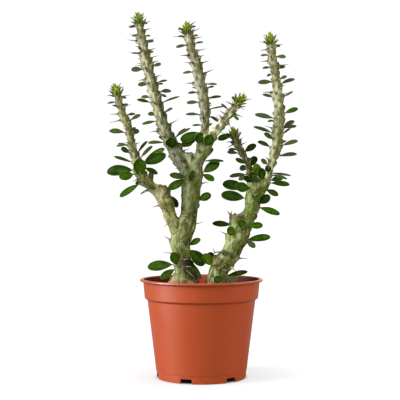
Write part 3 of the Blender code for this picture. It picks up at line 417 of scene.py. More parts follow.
class PlantSettings(bpy.types.PropertyGroup):
    """Sizes and colours of the stems, leaves and spines."""

    voxel: FloatProperty(name="Skin Grid", description="Size of the stem skin's faces",
                         default=0.69 * MM, subtype="DISTANCE")
    tubercle: FloatProperty(name="Tubercle", description="How far each tubercle stands out",
                            default=2.2 * MM, subtype="DISTANCE")
    branch_step: FloatProperty(name="Branch Areoles", description="Rise between two areoles",
                               default=1.8 * MM, subtype="DISTANCE")
    trunk_step: FloatProperty(name="Trunk Areoles", description="Rise between two areoles",
                              default=3.4 * MM, subtype="DISTANCE")
    spine_radius: FloatProperty(name="Spine Radius", description="Radius at a spine's base",
                                default=0.74 * MM, subtype="DISTANCE")
    leaf_thickness: FloatProperty(name="Leaf Thickness", description="Half of a blade",
                                  default=0.50 * MM, subtype="DISTANCE")
    # Groove is the darkest skin; where the ridge term puts it between the tubercles it is painted
    # shade
    groove: FloatVectorProperty(name="Groove", description="Skin between the tubercles",
                                subtype="COLOR", size=3, min=0.0, max=1.0,
                                default=(0.052, 0.066, 0.013))
    skin: FloatVectorProperty(name="Skin", description="Grey-green skin",
                              subtype="COLOR", size=3, min=0.0, max=1.0,
                              default=(0.185, 0.205, 0.092))
    wax: FloatVectorProperty(name="Wax", description="Pale waxy streaks",
                             subtype="COLOR", size=3, min=0.0, max=1.0,
                             default=(0.52, 0.52, 0.42))
    scar: FloatVectorProperty(name="Scar", description="Brown scars and old areoles",
                              subtype="COLOR", size=3, min=0.0, max=1.0,
                              default=(0.055, 0.038, 0.016))
    bark: FloatVectorProperty(name="Bark", description="Tan bark at the foot of a trunk",
                              subtype="COLOR", size=3, min=0.0, max=1.0,
                              default=(0.40, 0.31, 0.165))
    leaf: FloatVectorProperty(name="Leaf", description="Grown leaf",
                              subtype="COLOR", size=3, min=0.0, max=1.0,
                              default=(0.013, 0.036, 0.002))
    fresh_leaf: FloatVectorProperty(name="Fresh Leaf", description="Younger or sunlit leaf",
                                    subtype="COLOR", size=3, min=0.0, max=1.0,
                                    default=(0.22, 0.34, 0.006))
    shoot: FloatVectorProperty(name="Shoot", description="Leaflets of a growing tip",
                               subtype="COLOR", size=3, min=0.0, max=1.0,
                               default=(0.36, 0.43, 0.010))
    spine: FloatVectorProperty(name="Spine", description="Grey of a spine",
                               subtype="COLOR", size=3, min=0.0, max=1.0,
                               default=(0.125, 0.118, 0.075))


class StageSettings(bpy.types.PropertyGroup):
    """Light, floor and camera."""

    sky: FloatProperty(name="Sky", description="Light from all sides", default=0.26, min=0.0)
    key: FloatProperty(name="Key", description="Strength of the light from the left",
                       default=4.3, min=0.0)
    front: FloatProperty(name="Front", description="Strength of the soft light from the front",
                         default=1.0, min=0.0)
    key_angle: FloatProperty(name="Key Softness", description="How wide the key light is",
                             default=math.radians(32.0), subtype="ANGLE")
    fill: FloatProperty(name="Side Light", description="Power of the soft light on the right",
                        default=8.5, min=0.0, unit="POWER")
    sheen: FloatProperty(name="Sheen", description="Power of the light that only makes gloss",
                         default=56.0, min=0.0, unit="POWER")
    back: FloatProperty(name="Back", description="Strength of the soft light from behind",
                        default=0.9, min=0.0)
    bounce: FloatProperty(name="Bounce", description="Share of light the floor throws back",
                          default=0.30, min=0.0, max=1.0, subtype="FACTOR")
    lens: FloatProperty(name="Lens", description="Focal length in millimetres", default=90.0)


# Node trees written as formulas


def named_socket(sockets, key):
    """A socket by its place, or by its name among those in use."""
    if isinstance(key, int):
        return sockets[key]
    return next(socket for socket in sockets if socket.name == key and socket.enabled)


def feed(tree, socket, value):
    """Links a value that nodes work out to a socket, or sets a plain one on it."""
    if isinstance(value, Term):
        tree.links.new(value.socket, socket)
    elif isinstance(value, bpy.types.NodeSocket):
        tree.links.new(value, socket)
    elif socket.type == "RGBA" and len(value) == 3:
        socket.default_value = (*value, 1.0)
    else:
        socket.default_value = value


def add_node(tree, kind, inputs=None, **settings):
    """A new node with its settings made and its inputs fed."""
    made = tree.nodes.new(kind)
    for key, value in settings.items():
        setattr(made, key, value)
    for key, value in (inputs or {}).items():
        feed(tree, named_socket(made.inputs, key), value)
    return made


class Term:
    """A number that nodes work out, used in formulas like a plain number."""

    def __init__(self, tree, socket):
        self.tree, self.socket = tree, socket

    def math(self, operation, *others, clamp=False):
        made = add_node(self.tree, "ShaderNodeMath", operation=operation, use_clamp=clamp)
        for socket, value in zip(made.inputs, (self, *others)):
            feed(self.tree, socket, value)
        return Term(self.tree, made.outputs[0])

    def __add__(self, other):
        return self.math("ADD", other)

    def __sub__(self, other):
        return self.math("SUBTRACT", other)

    def __mul__(self, other):
        return self.math("MULTIPLY", other)

    def __truediv__(self, other):
        return self.math("DIVIDE", other)

    def __pow__(self, other):
        return self.math("POWER", other)

    __radd__ = __add__
    __rmul__ = __mul__

    def __rsub__(self, other):
        return self.math("MULTIPLY", -1.0) + other

    def smooth(self, low, high):
        """0 below low and 1 above high, with a smooth rise."""
        made = add_node(self.tree, "ShaderNodeMapRange", interpolation_type="SMOOTHSTEP",
                        inputs={"Value": self, "From Min": low, "From Max": high})
        return Term(self.tree, made.outputs[0])


class Arrow(Term):
    """A direction or place that nodes work out."""

    def vector_math(self, operation, *others):
        made = add_node(self.tree, "ShaderNodeVectorMath", operation=operation)
        for socket, value in zip(made.inputs, (self, *others)):
            feed(self.tree, socket, value)
        return Arrow(self.tree, made.outputs["Vector"])

    def __add__(self, other):
        return self.vector_math("ADD", other)

    def __mul__(self, factor):
        if isinstance(factor, (Arrow, tuple)):
            return self.vector_math("MULTIPLY", factor)
        made = add_node(self.tree, "ShaderNodeVectorMath", operation="SCALE",
                        inputs={0: self, "Scale": factor})
        return Arrow(self.tree, made.outputs["Vector"])

    def cross(self, other):
        return self.vector_math("CROSS_PRODUCT", other)

    def unit(self):
        return self.vector_math("NORMALIZE")

    def length(self):
        made = add_node(self.tree, "ShaderNodeVectorMath", operation="LENGTH",
                        inputs={0: self})
        return Term(self.tree, made.outputs["Value"])

    def parts(self):
        made = add_node(self.tree, "ShaderNodeSeparateXYZ", inputs={0: self})
        return tuple(Term(self.tree, socket) for socket in made.outputs)


def new_form_tree(name, sizes):
    """An empty Geometry Nodes tree with named inputs: (tree, inputs by name)."""
    tree = bpy.data.node_groups.new(name, "GeometryNodeTree")
    tree.is_modifier = True
    tree.interface.new_socket("Geometry", in_out="INPUT", socket_type="NodeSocketGeometry")
    for label, kind in sizes.items():
        tree.interface.new_socket(label, in_out="INPUT", socket_type=f"NodeSocket{kind}")
    tree.interface.new_socket("Geometry", in_out="OUTPUT", socket_type="NodeSocketGeometry")
    entry = add_node(tree, "NodeGroupInput")
    return tree, {socket.name: Term(tree, socket) for socket in entry.outputs if socket.name}


def close_form_tree(tree, shape, finish):
    """Ends a tree in Realize Instances, smooth shading and Set Material."""
    real = add_node(tree, "GeometryNodeRealizeInstances", {"Geometry": shape})
    even = add_node(tree, "GeometryNodeSetShadeSmooth", {0: real.outputs[0]})
    dressed = add_node(tree, "GeometryNodeSetMaterial",
                       {"Geometry": even.outputs[0], "Material": finish})
    add_node(tree, "NodeGroupOutput", {0: dressed.outputs[0]})


def attribute(tree, name):
    """A vector that the seed points or the grown shape carry under this name."""
    made = add_node(tree, "GeometryNodeInputNamedAttribute", data_type="FLOAT_VECTOR",
                    inputs={"Name": name})
    return Arrow(tree, named_socket(made.outputs, "Attribute"))


def link_object(name, data):
    """A new object of the data, linked to the scene."""
    made = bpy.data.objects.new(name, data)
    bpy.context.scene.collection.objects.link(made)
    return made


def settled_mesh(holder):
    """The plain mesh that an object's modifiers make, after which the object is removed."""
    bpy.context.view_layer.update()
    graph = bpy.context.evaluated_depsgraph_get()
    made = bpy.data.meshes.new_from_object(holder.evaluated_get(graph))
    bpy.data.objects.remove(holder)
    return made


def grown_mesh(name, mesh, tree, values):
    """The plain mesh that a tree makes of a mesh, with its inputs set by name."""
    holder = link_object(name, mesh)
    growth = holder.modifiers.new(tree.name, "NODES")
    growth.node_group = tree
    for item in tree.interface.items_tree:
        if item.in_out == "INPUT" and item.name in values:
            growth[item.identifier] = values[item.name]
    return settled_mesh(holder)


def mesh_from(shape, name):
    """The mesh of a shape, after which the shape is freed."""
    mesh = bpy.data.meshes.new(name)
    shape.to_mesh(mesh)
    shape.free()
    return mesh


def corner_places(mesh):
    """The places of a mesh's corners, one row for each."""
    places = np.empty(len(mesh.vertices) * 3)
    mesh.vertices.foreach_get("co", places)
    return places.reshape(-1, 3)


def add_piece(name, mesh, nodes):
    """Adds a finished piece at the origin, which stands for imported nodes."""
    mesh.name = name
    piece = link_object(name, mesh)
    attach(piece, BODY)
    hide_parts(*nodes)


def store(mesh, name, values):
    """Keeps one vector for each vertex as a named attribute."""
    kept = mesh.attributes.new(name, "FLOAT_VECTOR", "POINT")
    kept.data.foreach_set("vector", np.ascontiguousarray(values, dtype=np.float32).ravel())


# Finishes


class Finish:
    """A material under construction: its tree, its shader and its common nodes."""

    def __init__(self, name, roughness, specular=0.5):
        self.material = bpy.data.materials.new(name)
        self.material.use_nodes = True
        self.tree = self.material.node_tree
        self.shader = self.tree.nodes["Principled BSDF"]
        self.shader.inputs["Roughness"].default_value = roughness
        self.shader.inputs["Specular IOR Level"].default_value = specular

    def place(self):
        made = add_node(self.tree, "ShaderNodeTexCoord")
        return Arrow(self.tree, made.outputs["Object"])

    def attribute(self, name):
        made = add_node(self.tree, "ShaderNodeAttribute", attribute_name=name)
        return Arrow(self.tree, made.outputs["Vector"])

    def noise(self, where, stretch, detail=3.0, roughness=0.55):
        """Noise from 0 to 1, whose grains are 1 / stretch metres across."""
        made = add_node(self.tree, "ShaderNodeTexNoise", {
            "Vector": where * stretch if isinstance(stretch, tuple) else where,
            "Scale": 1.0 if isinstance(stretch, tuple) else stretch,
            "Detail": detail, "Roughness": roughness})
        return Term(self.tree, made.outputs[0])

    def mix(self, share, low, high, blend="MIX"):
        made = add_node(self.tree, "ShaderNodeMix", data_type="RGBA", blend_type=blend,
                        clamp_factor=True)
        feed(self.tree, made.inputs[0], share)
        feed(self.tree, made.inputs[6], low)
        feed(self.tree, made.inputs[7], high)
        return Term(self.tree, made.outputs[2])

    def finish(self, colour, roughness=None, bump=None, depth=0.1 * MM, strength=1.0):
        feed(self.tree, self.shader.inputs["Base Color"], colour)
        if roughness is not None:
            feed(self.tree, self.shader.inputs["Roughness"], roughness)
        if bump is not None:
            made = add_node(self.tree, "ShaderNodeBump", {
                "Height": bump, "Distance": depth, "Strength": strength})
            feed(self.tree, self.shader.inputs["Normal"], made.outputs[0])
        return self.material


def terracotta_plastic(settings):
    """Satin moulded plastic with faint flow marks, pores, dust and water marks at the foot, and
    painted shade on the inner wall above the soil, lighter at the back where light falls between
    the trunks.
    """
    look = Finish("terracotta_plastic", settings.roughness, specular=0.25)
    place = look.place()
    across, depth, height = place.parts()
    cloud = look.noise(place, 22.0, 3.0)
    flow = look.noise(place, (160.0, 160.0, 9.0), 3.0)
    pores = look.noise(place, 1900.0, 2.0)
    colour = settings.colour
    paler = tuple(min(1.0, part * 1.10 + 0.006) for part in colour)
    deeper = tuple(part * 0.90 for part in colour)
    tone = look.mix(cloud * 0.85 + flow * 0.15, deeper, paler)
    dust = look.noise(place, 420.0, 4.0).smooth(0.56, 0.72) \
        * (1.0 - height.smooth(2.0 * MM, 26.0 * MM))
    tone = look.mix(dust * 0.35, tone, (0.36, 0.22, 0.13))
    spots = look.noise(place, 260.0, 2.0).smooth(0.70, 0.76)
    tone = look.mix(spots * 0.10, tone, (0.60, 0.42, 0.30))
    # Painted shade on the inner wall above the soil, up to just below the lip, left lighter at
    # the back in the middle where light falls between the trunks
    reach = (place * (1.0, 1.0, 0.0)).length()
    inside = (1.0 - (reach - height * 0.089).smooth(51.8 * MM, 52.3 * MM)) \
        * height.smooth(86.0 * MM, 88.0 * MM)
    shaded_below_lip = 1.0 - (height + cloud * (5.0 * MM)).smooth(104.0 * MM, 107.5 * MM)
    lit_gap = (1.0 - (across - 4.0 * MM).math("ABSOLUTE").smooth(4.0 * MM, 9.0 * MM)) \
        * depth.smooth(0.0, 30.0 * MM)
    tone = look.mix(inside * shaded_below_lip * (0.90 - lit_gap * 0.75), tone, (0.062, 0.014, 0.004))
    rough = (cloud * 0.10 + settings.roughness - 0.05) + dust * 0.25 + inside * 0.6
    return look.finish(tone, rough, pores * 0.85 + flow * 0.15, 0.05 * MM, 0.5)


def soil_finish(name, dark, pale, grain):
    """Matte crumbly stuff between a dark and a pale colour."""
    look = Finish(name, 0.95, specular=0.2)
    place = look.place()
    broad = look.noise(place, grain * 0.2, 3.0)
    fine = look.noise(place, grain, 4.0, 0.7)
    tone = look.mix(broad.smooth(0.35, 0.7) * 0.5 + fine.smooth(0.4, 0.75) * 0.5, dark, pale)
    return look.finish(tone, 0.88 + 0.1 * fine, fine, 0.4 * MM, 0.8)


def stem_skin(settings):
    """Waxy grey-green skin that streaks along the stem, with brown areoles and scars, and painted
    light and shade: paler on the tubercles and on the side facing the key light, darker in
    painted shade patches.
    """
    look = Finish("waxy_stem_skin", 0.62, specular=0.05)
    grain = look.attribute("grain")
    ridge, scar, dark = look.attribute("form").parts()
    youth, bark, cut = look.attribute("stage").parts()
    wax, trunk, painted_lit_side = look.attribute("coat").parts()
    tint = look.attribute("tint")
    streak = look.noise(grain, (520.0, 520.0, 70.0), 3.0, 0.6)
    hair = look.noise(grain, (1000.0, 1000.0, 170.0), 3.0)
    patch = look.noise(grain, (150.0, 150.0, 75.0), 3.0)
    cloud = look.noise(grain, (70.0, 70.0, 38.0), 2.0)
    speck = look.noise(grain, (900.0, 900.0, 600.0), 3.0)
    # Painted light and shade: the ridge term makes the raised tubercles paler and the hollows
    # between them darker, and the lit-side term makes skin that faces the key light paler and
    # waxier
    level = ridge * 0.52 + (streak - 0.5) * 0.85 + (hair - 0.5) * 0.80 \
        + (patch - 0.5) * 0.95 + (cloud - 0.5) * 0.5 + (wax - 0.5) * 0.5 + painted_lit_side * 0.34 + 0.26
    tone = look.mix(level.smooth(0.20, 0.46), settings.groove, settings.skin)
    tone = look.mix(level.smooth(0.46, 0.80), tone, settings.wax)
    olive = cloud.smooth(0.47, 0.60) * (1.0 - level.smooth(0.55, 0.8))
    tone = look.mix(olive * (0.35 + trunk * 0.25), tone, (0.17, 0.185, 0.030))
    blush = look.noise(grain, (210.0, 210.0, 90.0), 2.0).smooth(0.56, 0.70)
    tone = look.mix(blush * 0.25, tone, (0.30, 0.22, 0.12))
    tone = look.mix(youth * 0.4, tone, (0.24, 0.27, 0.07))
    fleck = (streak * 0.5 + speck * 0.5).smooth(0.60, 0.68) * 0.7
    tone = look.mix(fleck, tone, settings.scar)
    mottle = look.noise(grain, (430.0, 430.0, 300.0), 4.0, 0.7)
    tone = look.mix(mottle.smooth(0.55, 0.64) * (0.10 + trunk * 0.40), tone, (0.42, 0.39, 0.26))
    tone = look.mix((1.0 - mottle).smooth(0.55, 0.63) * (0.15 + trunk * 0.50), tone,
                    (0.085, 0.062, 0.022))
    tone = look.mix(1.0, tone, tint, "MULTIPLY")
    rust = look.mix(speck.smooth(0.4, 0.65), (0.068, 0.052, 0.018), (0.17, 0.105, 0.045))
    tone = look.mix(scar * (0.8 + speck * 0.5), tone, rust)
    tone = look.mix(youth.smooth(0.62, 0.80), tone, (0.26, 0.32, 0.014))
    fibre = look.mix(streak.smooth(0.35, 0.60), (0.09, 0.06, 0.028), settings.bark)
    tone = look.mix(bark * (0.45 + speck * 0.8), tone, fibre)
    wood = look.mix(speck.smooth(0.42, 0.62), (0.30, 0.27, 0.14), (0.46, 0.45, 0.27))
    tone = look.mix(cut, tone, wood)
    # Painted shade: darker towards the bottom and in the listed shade patches on the front
    tone = look.mix(dark * (0.7 + speck * 0.5), tone, (0.024, 0.022, 0.005))
    rough = 0.52 + 0.20 * streak + 0.15 * scar
    relief = streak * 0.55 + hair * 0.2 + speck * 0.25 * (1.0 + scar * 2.0 + bark * 2.0)
    return look.finish(tone, rough, relief, 0.35 * MM, 0.7)


def leaf_blade(settings):
    """Fleshy glossy blade with a pale rim, a pale stalk and a faint midrib."""
    look = Finish("fleshy_leaf", 0.34, specular=0.035)
    across, through, along = look.attribute("blade").parts()
    shade, chance, young = look.attribute("look").parts()
    place = look.place()
    reach = (across * across + through * through + 1e-6).math("SQRT")
    aside = (across / reach).math("ABSOLUTE")
    share = along * 0.5 + 0.5
    under = (through / reach * -1.0).smooth(0.0, 0.25)
    cloud = look.noise(place, 130.0, 2.0)
    fine = look.noise(place, 1300.0, 3.0)
    fresh = shade + (cloud - 0.5) * 1.1 + (chance - 0.5) * 0.1
    tone = look.mix(fresh * 2.0, settings.leaf, (0.042, 0.106, 0.002))
    tone = look.mix(fresh * 2.0 - 1.0, tone, settings.fresh_leaf)
    shadow = aside.smooth(0.40, 0.90) + share.smooth(0.75, 1.0) * 0.6
    tone = look.mix(shadow * 0.65, tone, (0.007, 0.022, 0.002))
    tone = look.mix(under * 0.45, tone, (0.09, 0.15, 0.040))
    midrib = (1.0 - aside.smooth(0.03, 0.13)) * (1.0 - share.smooth(0.55, 0.95))
    tone = look.mix(midrib * 0.25, tone, (0.12, 0.20, 0.03))
    rim = aside.smooth(0.89, 0.98) * share.smooth(0.10, 0.25)
    tone = look.mix(rim * 0.75, tone, (0.30, 0.38, 0.07))
    stalk = 1.0 - share.smooth(0.03, 0.16)
    tone = look.mix(stalk * 0.7, tone, (0.16, 0.19, 0.05))
    tone = look.mix(young * -0.85, tone, (0.082, 0.104, 0.042))
    bud = look.mix(share.smooth(0.6, 1.0), settings.shoot, (0.17, 0.24, 0.010))
    tone = look.mix(young, tone, bud)
    rough = 0.25 + 0.18 * fine + 0.2 * young.math("MAXIMUM", 0.0)
    vein = (aside * 3.0 - share * 16.0).math("SINE") * 0.12
    return look.finish(tone, rough, fine * 0.5 + vein + midrib * -0.5, 0.15 * MM, 0.55)


def spine_finish(settings):
    """Dull grey spine on a brown base with a darker point."""
    look = Finish("grey_spine", 0.55, specular=0.25)
    _, _, share = look.attribute("blade").parts()
    _, chance, young = look.attribute("look").parts()
    grain = look.noise(look.place(), 900.0, 3.0)
    body = look.mix(chance, tuple(part * 0.62 for part in settings.spine), settings.spine)
    body = look.mix(grain.smooth(0.4, 0.7) * 0.35, body, (0.33, 0.29, 0.22))
    base = 1.0 - share.smooth(0.0, 0.30)
    tone = look.mix(base * 0.7, body, (0.11, 0.07, 0.032))
    tone = look.mix(share.smooth(0.82, 1.0) * 0.5, tone, (0.06, 0.045, 0.03))
    tone = look.mix(young * 0.35, tone, (0.22, 0.22, 0.07))
    tone = look.mix(young * -0.85, tone, (0.46, 0.40, 0.25))
    return look.finish(tone, 0.5 + 0.2 * grain, grain, 0.1 * MM, 0.4)


# The pot

# Corners of the moulding from the middle of the floor round to the underside:
# (radius, height, rounding) in millimetres
POT_CORNERS = [
    (0.0, 7.4, 0.0), (46.5, 7.4, 3.0), (55.4, 80.6, 2.5), (58.8, 83.6, 2.0),
    (60.3, 101.0, 1.0), (61.4, 104.0, 1.05), (65.0, 104.0, 1.1), (65.0, 101.7, 0.95),
    (61.7, 101.2, 0.5), (60.1, 84.0, 1.1), (57.2, 82.0, 1.4), (48.05, 8.4, 0.3),
    (47.6, 7.9, 0.3), (47.0, 0.0, 0.7),
    (44.8, 0.0, 0.5), (44.8, 6.0, 1.0), (0.0, 6.0, 0.0),
]
FOOT_RADIUS = 47.0
FLOOR_UNDERSIDE = 6.0
FIRST_NOTCH = -19.5
NOTCH_ROUND = 1.4
NOTCH_LENGTH = 10.0
DRAIN_RADIUS = 4.0
DRAIN_CIRCLE = 35.0
DRAIN_LENGTH = 8.0
DRAIN_SIDES = 24
MERGE = 0.02 * MM


def rounded_profile(corners, steps):
    """The corners' polyline with an arc of several points in place of each rounded corner."""
    points = [Vector((radius, height)) for radius, height, _ in corners]
    result = []
    for i, (point, (_, _, rounding)) in enumerate(zip(points, corners)):
        if rounding == 0.0:
            result.append(point)
            continue
        back = (points[i - 1] - point).normalized()
        ahead = (points[i + 1] - point).normalized()
        half = back.angle(ahead) / 2.0
        reach = rounding / math.tan(half)
        centre = point + (back + ahead).normalized() * (rounding / math.sin(half))
        start = point + back * reach - centre
        turn = start.angle_signed(point + ahead * reach - centre)
        for k in range(steps + 1):
            result.append(centre + Matrix.Rotation(-turn * k / steps, 2) @ start)
    return result


def turned_mesh(name, profile, steps):
    """A profile of (radius, height) in millimetres, turned about the Z axis."""
    mesh = bpy.data.meshes.new(name)
    points = [(radius * MM, 0.0, height * MM) for radius, height in profile]
    mesh.from_pydata(points, [(i, i + 1) for i in range(len(points) - 1)], [])
    holder = link_object(name, mesh)
    screw = holder.modifiers.new("turn", "SCREW")
    screw.steps = screw.render_steps = steps
    screw.use_merge_vertices = True
    screw.merge_threshold = MERGE
    return settled_mesh(holder)


def notch_mesh(settings, turn):
    """A bar with rounded upper edges that cuts one notch through the foot ring."""
    shape = bmesh.new()
    bmesh.ops.create_cube(shape, size=1.0)
    stretch = Matrix.Diagonal((NOTCH_LENGTH * MM, settings.notch_width,
                               2.0 * settings.notch_height, 1.0))
    shift = Matrix.Translation((FOOT_RADIUS * MM, 0.0, 0.0))
    bmesh.ops.transform(shape, matrix=shift @ stretch, verts=shape.verts)
    upper = [edge for edge in shape.edges
             if all(corner.co.z > 0.0 for corner in edge.verts)
             and abs(edge.verts[0].co.y - edge.verts[1].co.y) < MM * 0.1]
    bmesh.ops.bevel(shape, geom=upper, offset=NOTCH_ROUND * MM, segments=4, profile=0.5,
                    affect="EDGES")
    bmesh.ops.transform(shape, matrix=turn, verts=shape.verts)
    return mesh_from(shape, "notch")


def drain_mesh(turn):
    """A round bar that cuts one drain hole through the floor."""
    shape = bmesh.new()
    shift = Matrix.Translation((DRAIN_CIRCLE * MM, 0.0, FLOOR_UNDERSIDE * MM))
    bmesh.ops.create_cone(shape, cap_ends=True, segments=DRAIN_SIDES,
                          radius1=DRAIN_RADIUS * MM, radius2=DRAIN_RADIUS * MM,
                          depth=DRAIN_LENGTH * MM, matrix=turn @ shift)
    return mesh_from(shape, "drain")


def moulded_pot(settings):
    """The turned pot with its notches and drain holes cut and its sharp edges softened."""
    profile = rounded_profile(POT_CORNERS, settings.arc_steps)
    mesh = turned_mesh("pot_moulding", profile, settings.steps)
    holder = link_object("pot_draft", mesh)
    cutters = bpy.data.collections.new("pot_cutters")
    bpy.context.scene.collection.children.link(cutters)
    for i in range(settings.notches):
        angle = FIRST_NOTCH - 90.0 + 360.0 / settings.notches * i
        turn = Matrix.Rotation(math.radians(angle), 4, "Z")
        for cutter in (notch_mesh(settings, turn), drain_mesh(turn)):
            cutters.objects.link(bpy.data.objects.new("cutter", cutter))
    cut = holder.modifiers.new("cut", "BOOLEAN")
    cut.operation = "DIFFERENCE"
    cut.operand_type = "COLLECTION"
    cut.collection = cutters
    cut.solver = "EXACT"
    soft = holder.modifiers.new("edges", "BEVEL")
    soft.width = 0.22 * MM
    soft.segments = 2
    soft.limit_method = "ANGLE"
    soft.angle_limit = math.radians(50.0)
    made = settled_mesh(holder)
    for spare in list(cutters.objects):
        bpy.data.objects.remove(spare)
    bpy.data.collections.remove(cutters)
    made.shade_smooth()
    made.set_sharp_from_angle(angle=math.radians(42.0))
    return made


class OCOTILLO_OT_mould_pot(bpy.types.Operator):
    """Make the moulded pot with its lip, collar, notches and drain holes"""

    bl_idname = "ocotillo.mould_pot"
    bl_label = "Mould the Pot"

    def execute(self, context):
        settings = context.scene.ocotillo_pot
        mesh = moulded_pot(settings)
        mesh.materials.clear()
        mesh.materials.append(terracotta_plastic(settings))
        add_piece("pot_moulding", mesh, ["pot"])
        return {"FINISHED"}


# The soil

SOIL_EDGE_RADIUS = 59.0
SOIL_SIDE = [(0.0, 7.75), (45.6, 7.75), (54.9, 80.8), (58.2, 84.0)]
BANK_HEIGHT = 2.2
BANK_WIDTH = 19.0
TABLE_SIZE = 32
NOISE_TABLE = np.random.default_rng(7).random((TABLE_SIZE,) * 3)


def value_noise(points):
    """Smooth noise from 0 to 1, with cells one unit across."""
    cell = np.floor(points).astype(int)
    share = points - cell
    share = share * share * (3.0 - 2.0 * share)
    total = np.zeros(len(points))
    for corner in itertools.product((0, 1), repeat=3):
        weight = np.prod(np.where(corner, share, 1.0 - share), axis=1)
        index = (cell + np.array(corner)) % TABLE_SIZE
        total += weight * NOISE_TABLE[index[:, 0], index[:, 1], index[:, 2]]
    return total


def soil_bed(settings):
    """The whole soil body, with a lumpy top that is banked up round the trunks."""
    top = [(SOIL_EDGE_RADIUS * k / settings.rings, SOIL_TOP)
           for k in range(settings.rings, -1, -1)]
    mesh = turned_mesh("potting_soil_bed", (SOIL_SIDE + top)[::-1], settings.sides)
    places = corner_places(mesh)
    reach = np.hypot(places[:, 0], places[:, 1]) / MM
    upper = places[:, 2] > (SOIL_TOP - 0.5) * MM
    lumps = value_noise(places / (9.0 * MM)) * 0.5 + value_noise(places / (3.5 * MM)) * 0.3 \
        + value_noise(places / (1.5 * MM)) * 0.2
    rise = (lumps - 0.35) * settings.lumps
    for stem in TRUNKS:
        foot = seen(*TUBES[stem][0][2][:3])
        away = np.hypot(places[:, 0] - foot.x, places[:, 1] - foot.y)
        rise += BANK_HEIGHT * MM * np.exp(-(away / (BANK_WIDTH * MM)) ** 2)
    rise *= np.clip((SOIL_EDGE_RADIUS - reach) / 3.0, 0.0, 1.0)
    places[:, 2] += np.where(upper, rise, 0.0)
    mesh.vertices.foreach_set("co", places.ravel())
    mesh.shade_smooth()
    return mesh


def scatter_tree(name):
    """Bits strewn over the top of the soil, each a lump of its own shape."""
    tree, size = new_form_tree(name, {
        "Density": "Float", "Smallest": "Float", "Largest": "Float", "Flatness": "Float",
        "Length": "Float", "Roughness": "Float", "Detail": "Int", "Seed": "Int",
        "Material": "Material"})
    place = add_node(tree, "GeometryNodeInputPosition")
    facing = add_node(tree, "GeometryNodeInputNormal")
    right, back, height = Arrow(tree, place.outputs[0]).parts()
    _, _, upward = Arrow(tree, facing.outputs[0]).parts()
    reach = (right * right + back * back).math("SQRT")
    clear_of_wall = size["Largest"] * size["Length"] * -0.5 + SOIL_EDGE_RADIUS * MM
    top = height.math("GREATER_THAN", (SOIL_TOP - 1.0) * MM) \
        * upward.math("GREATER_THAN", 0.3) * reach.math("LESS_THAN", clear_of_wall)
    points = add_node(tree, "GeometryNodeDistributePointsOnFaces", {
        "Mesh": size["Geometry"], "Selection": top, "Density": size["Density"],
        "Seed": size["Seed"]})
    lump = add_node(tree, "GeometryNodeMeshIcoSphere", {
        "Radius": 0.5, "Subdivisions": size["Detail"]})
    scale = add_node(tree, "FunctionNodeRandomValue", data_type="FLOAT", inputs={
        "Min": size["Smallest"], "Max": size["Largest"], "Seed": size["Seed"]})
    across = Term(tree, named_socket(scale.outputs, "Value"))
    spread = add_node(tree, "ShaderNodeCombineXYZ", {
        "X": across * size["Length"], "Y": across, "Z": across * size["Flatness"]})
    turn = add_node(tree, "FunctionNodeRandomValue", data_type="FLOAT_VECTOR", inputs={
        "Min": (-0.5, -0.5, 0.0), "Max": (0.5, 0.5, 2.0 * math.pi), "Seed": size["Seed"]})
    placed = add_node(tree, "GeometryNodeInstanceOnPoints", {
        "Points": points.outputs["Points"], "Instance": lump.outputs["Mesh"],
        "Rotation": named_socket(turn.outputs, "Value"), "Scale": spread.outputs[0]})
    real = add_node(tree, "GeometryNodeRealizeInstances", {"Geometry": placed.outputs[0]})
    noise = add_node(tree, "ShaderNodeTexNoise", {
        "Vector": Arrow(tree, place.outputs[0]), "Scale": 900.0, "Detail": 1.0})
    shove = Arrow(tree, noise.outputs["Color"]) + (-0.5, -0.5, -0.5)
    rough = add_node(tree, "GeometryNodeSetPosition", {
        "Geometry": real.outputs[0], "Offset": shove * size["Roughness"]})
    close_form_tree(tree, rough.outputs[0], size["Material"])
    return tree


class OCOTILLO_OT_fill_soil(bpy.types.Operator):
    """Make the soil bed and strew crumbs, bark chips and pale grit over it"""

    bl_idname = "ocotillo.fill_soil"
    bl_label = "Fill the Soil"

    def execute(self, context):
        settings = context.scene.ocotillo_soil
        bed = soil_bed(settings)
        bed.materials.append(soil_finish("damp_potting_mix", (0.010, 0.006, 0.004),
                                         (0.060, 0.037, 0.022), 700.0))
        add_piece("potting_soil_bed", bed, ["soil"])
        tree = scatter_tree("Soil Scatter")
        kinds = {
            "soil_crumbs": (settings.crumbs, 0.7, 2.6, 0.75, 1.0, 0.9, soil_finish(
                "soil_crumb", (0.012, 0.007, 0.005), (0.085, 0.052, 0.030), 900.0)),
            "bark_chips": (settings.chips, 2.2, 4.5, 0.35, 2.2, 1.2, soil_finish(
                "bark_chip", (0.05, 0.026, 0.013), (0.19, 0.105, 0.055), 600.0)),
            "pale_grit": (settings.grit, 0.9, 2.3, 0.85, 1.1, 0.7, soil_finish(
                "pale_grit", (0.30, 0.27, 0.22), (0.66, 0.62, 0.55), 800.0)),
        }
        for i, (name, (density, small, large, flat, long, rough, finish)) \
                in enumerate(kinds.items()):
            mesh = grown_mesh(name, bed.copy(), tree, {
                "Density": density, "Smallest": small * MM, "Largest": large * MM,
                "Flatness": flat, "Length": long, "Roughness": rough * MM,
                "Detail": 1 if name == "soil_crumbs" else 2, "Seed": settings.seed + i,
                "Material": finish})
            add_piece(name, mesh, ["soil"])
        return {"FINISHED"}


# Tubes of the stems


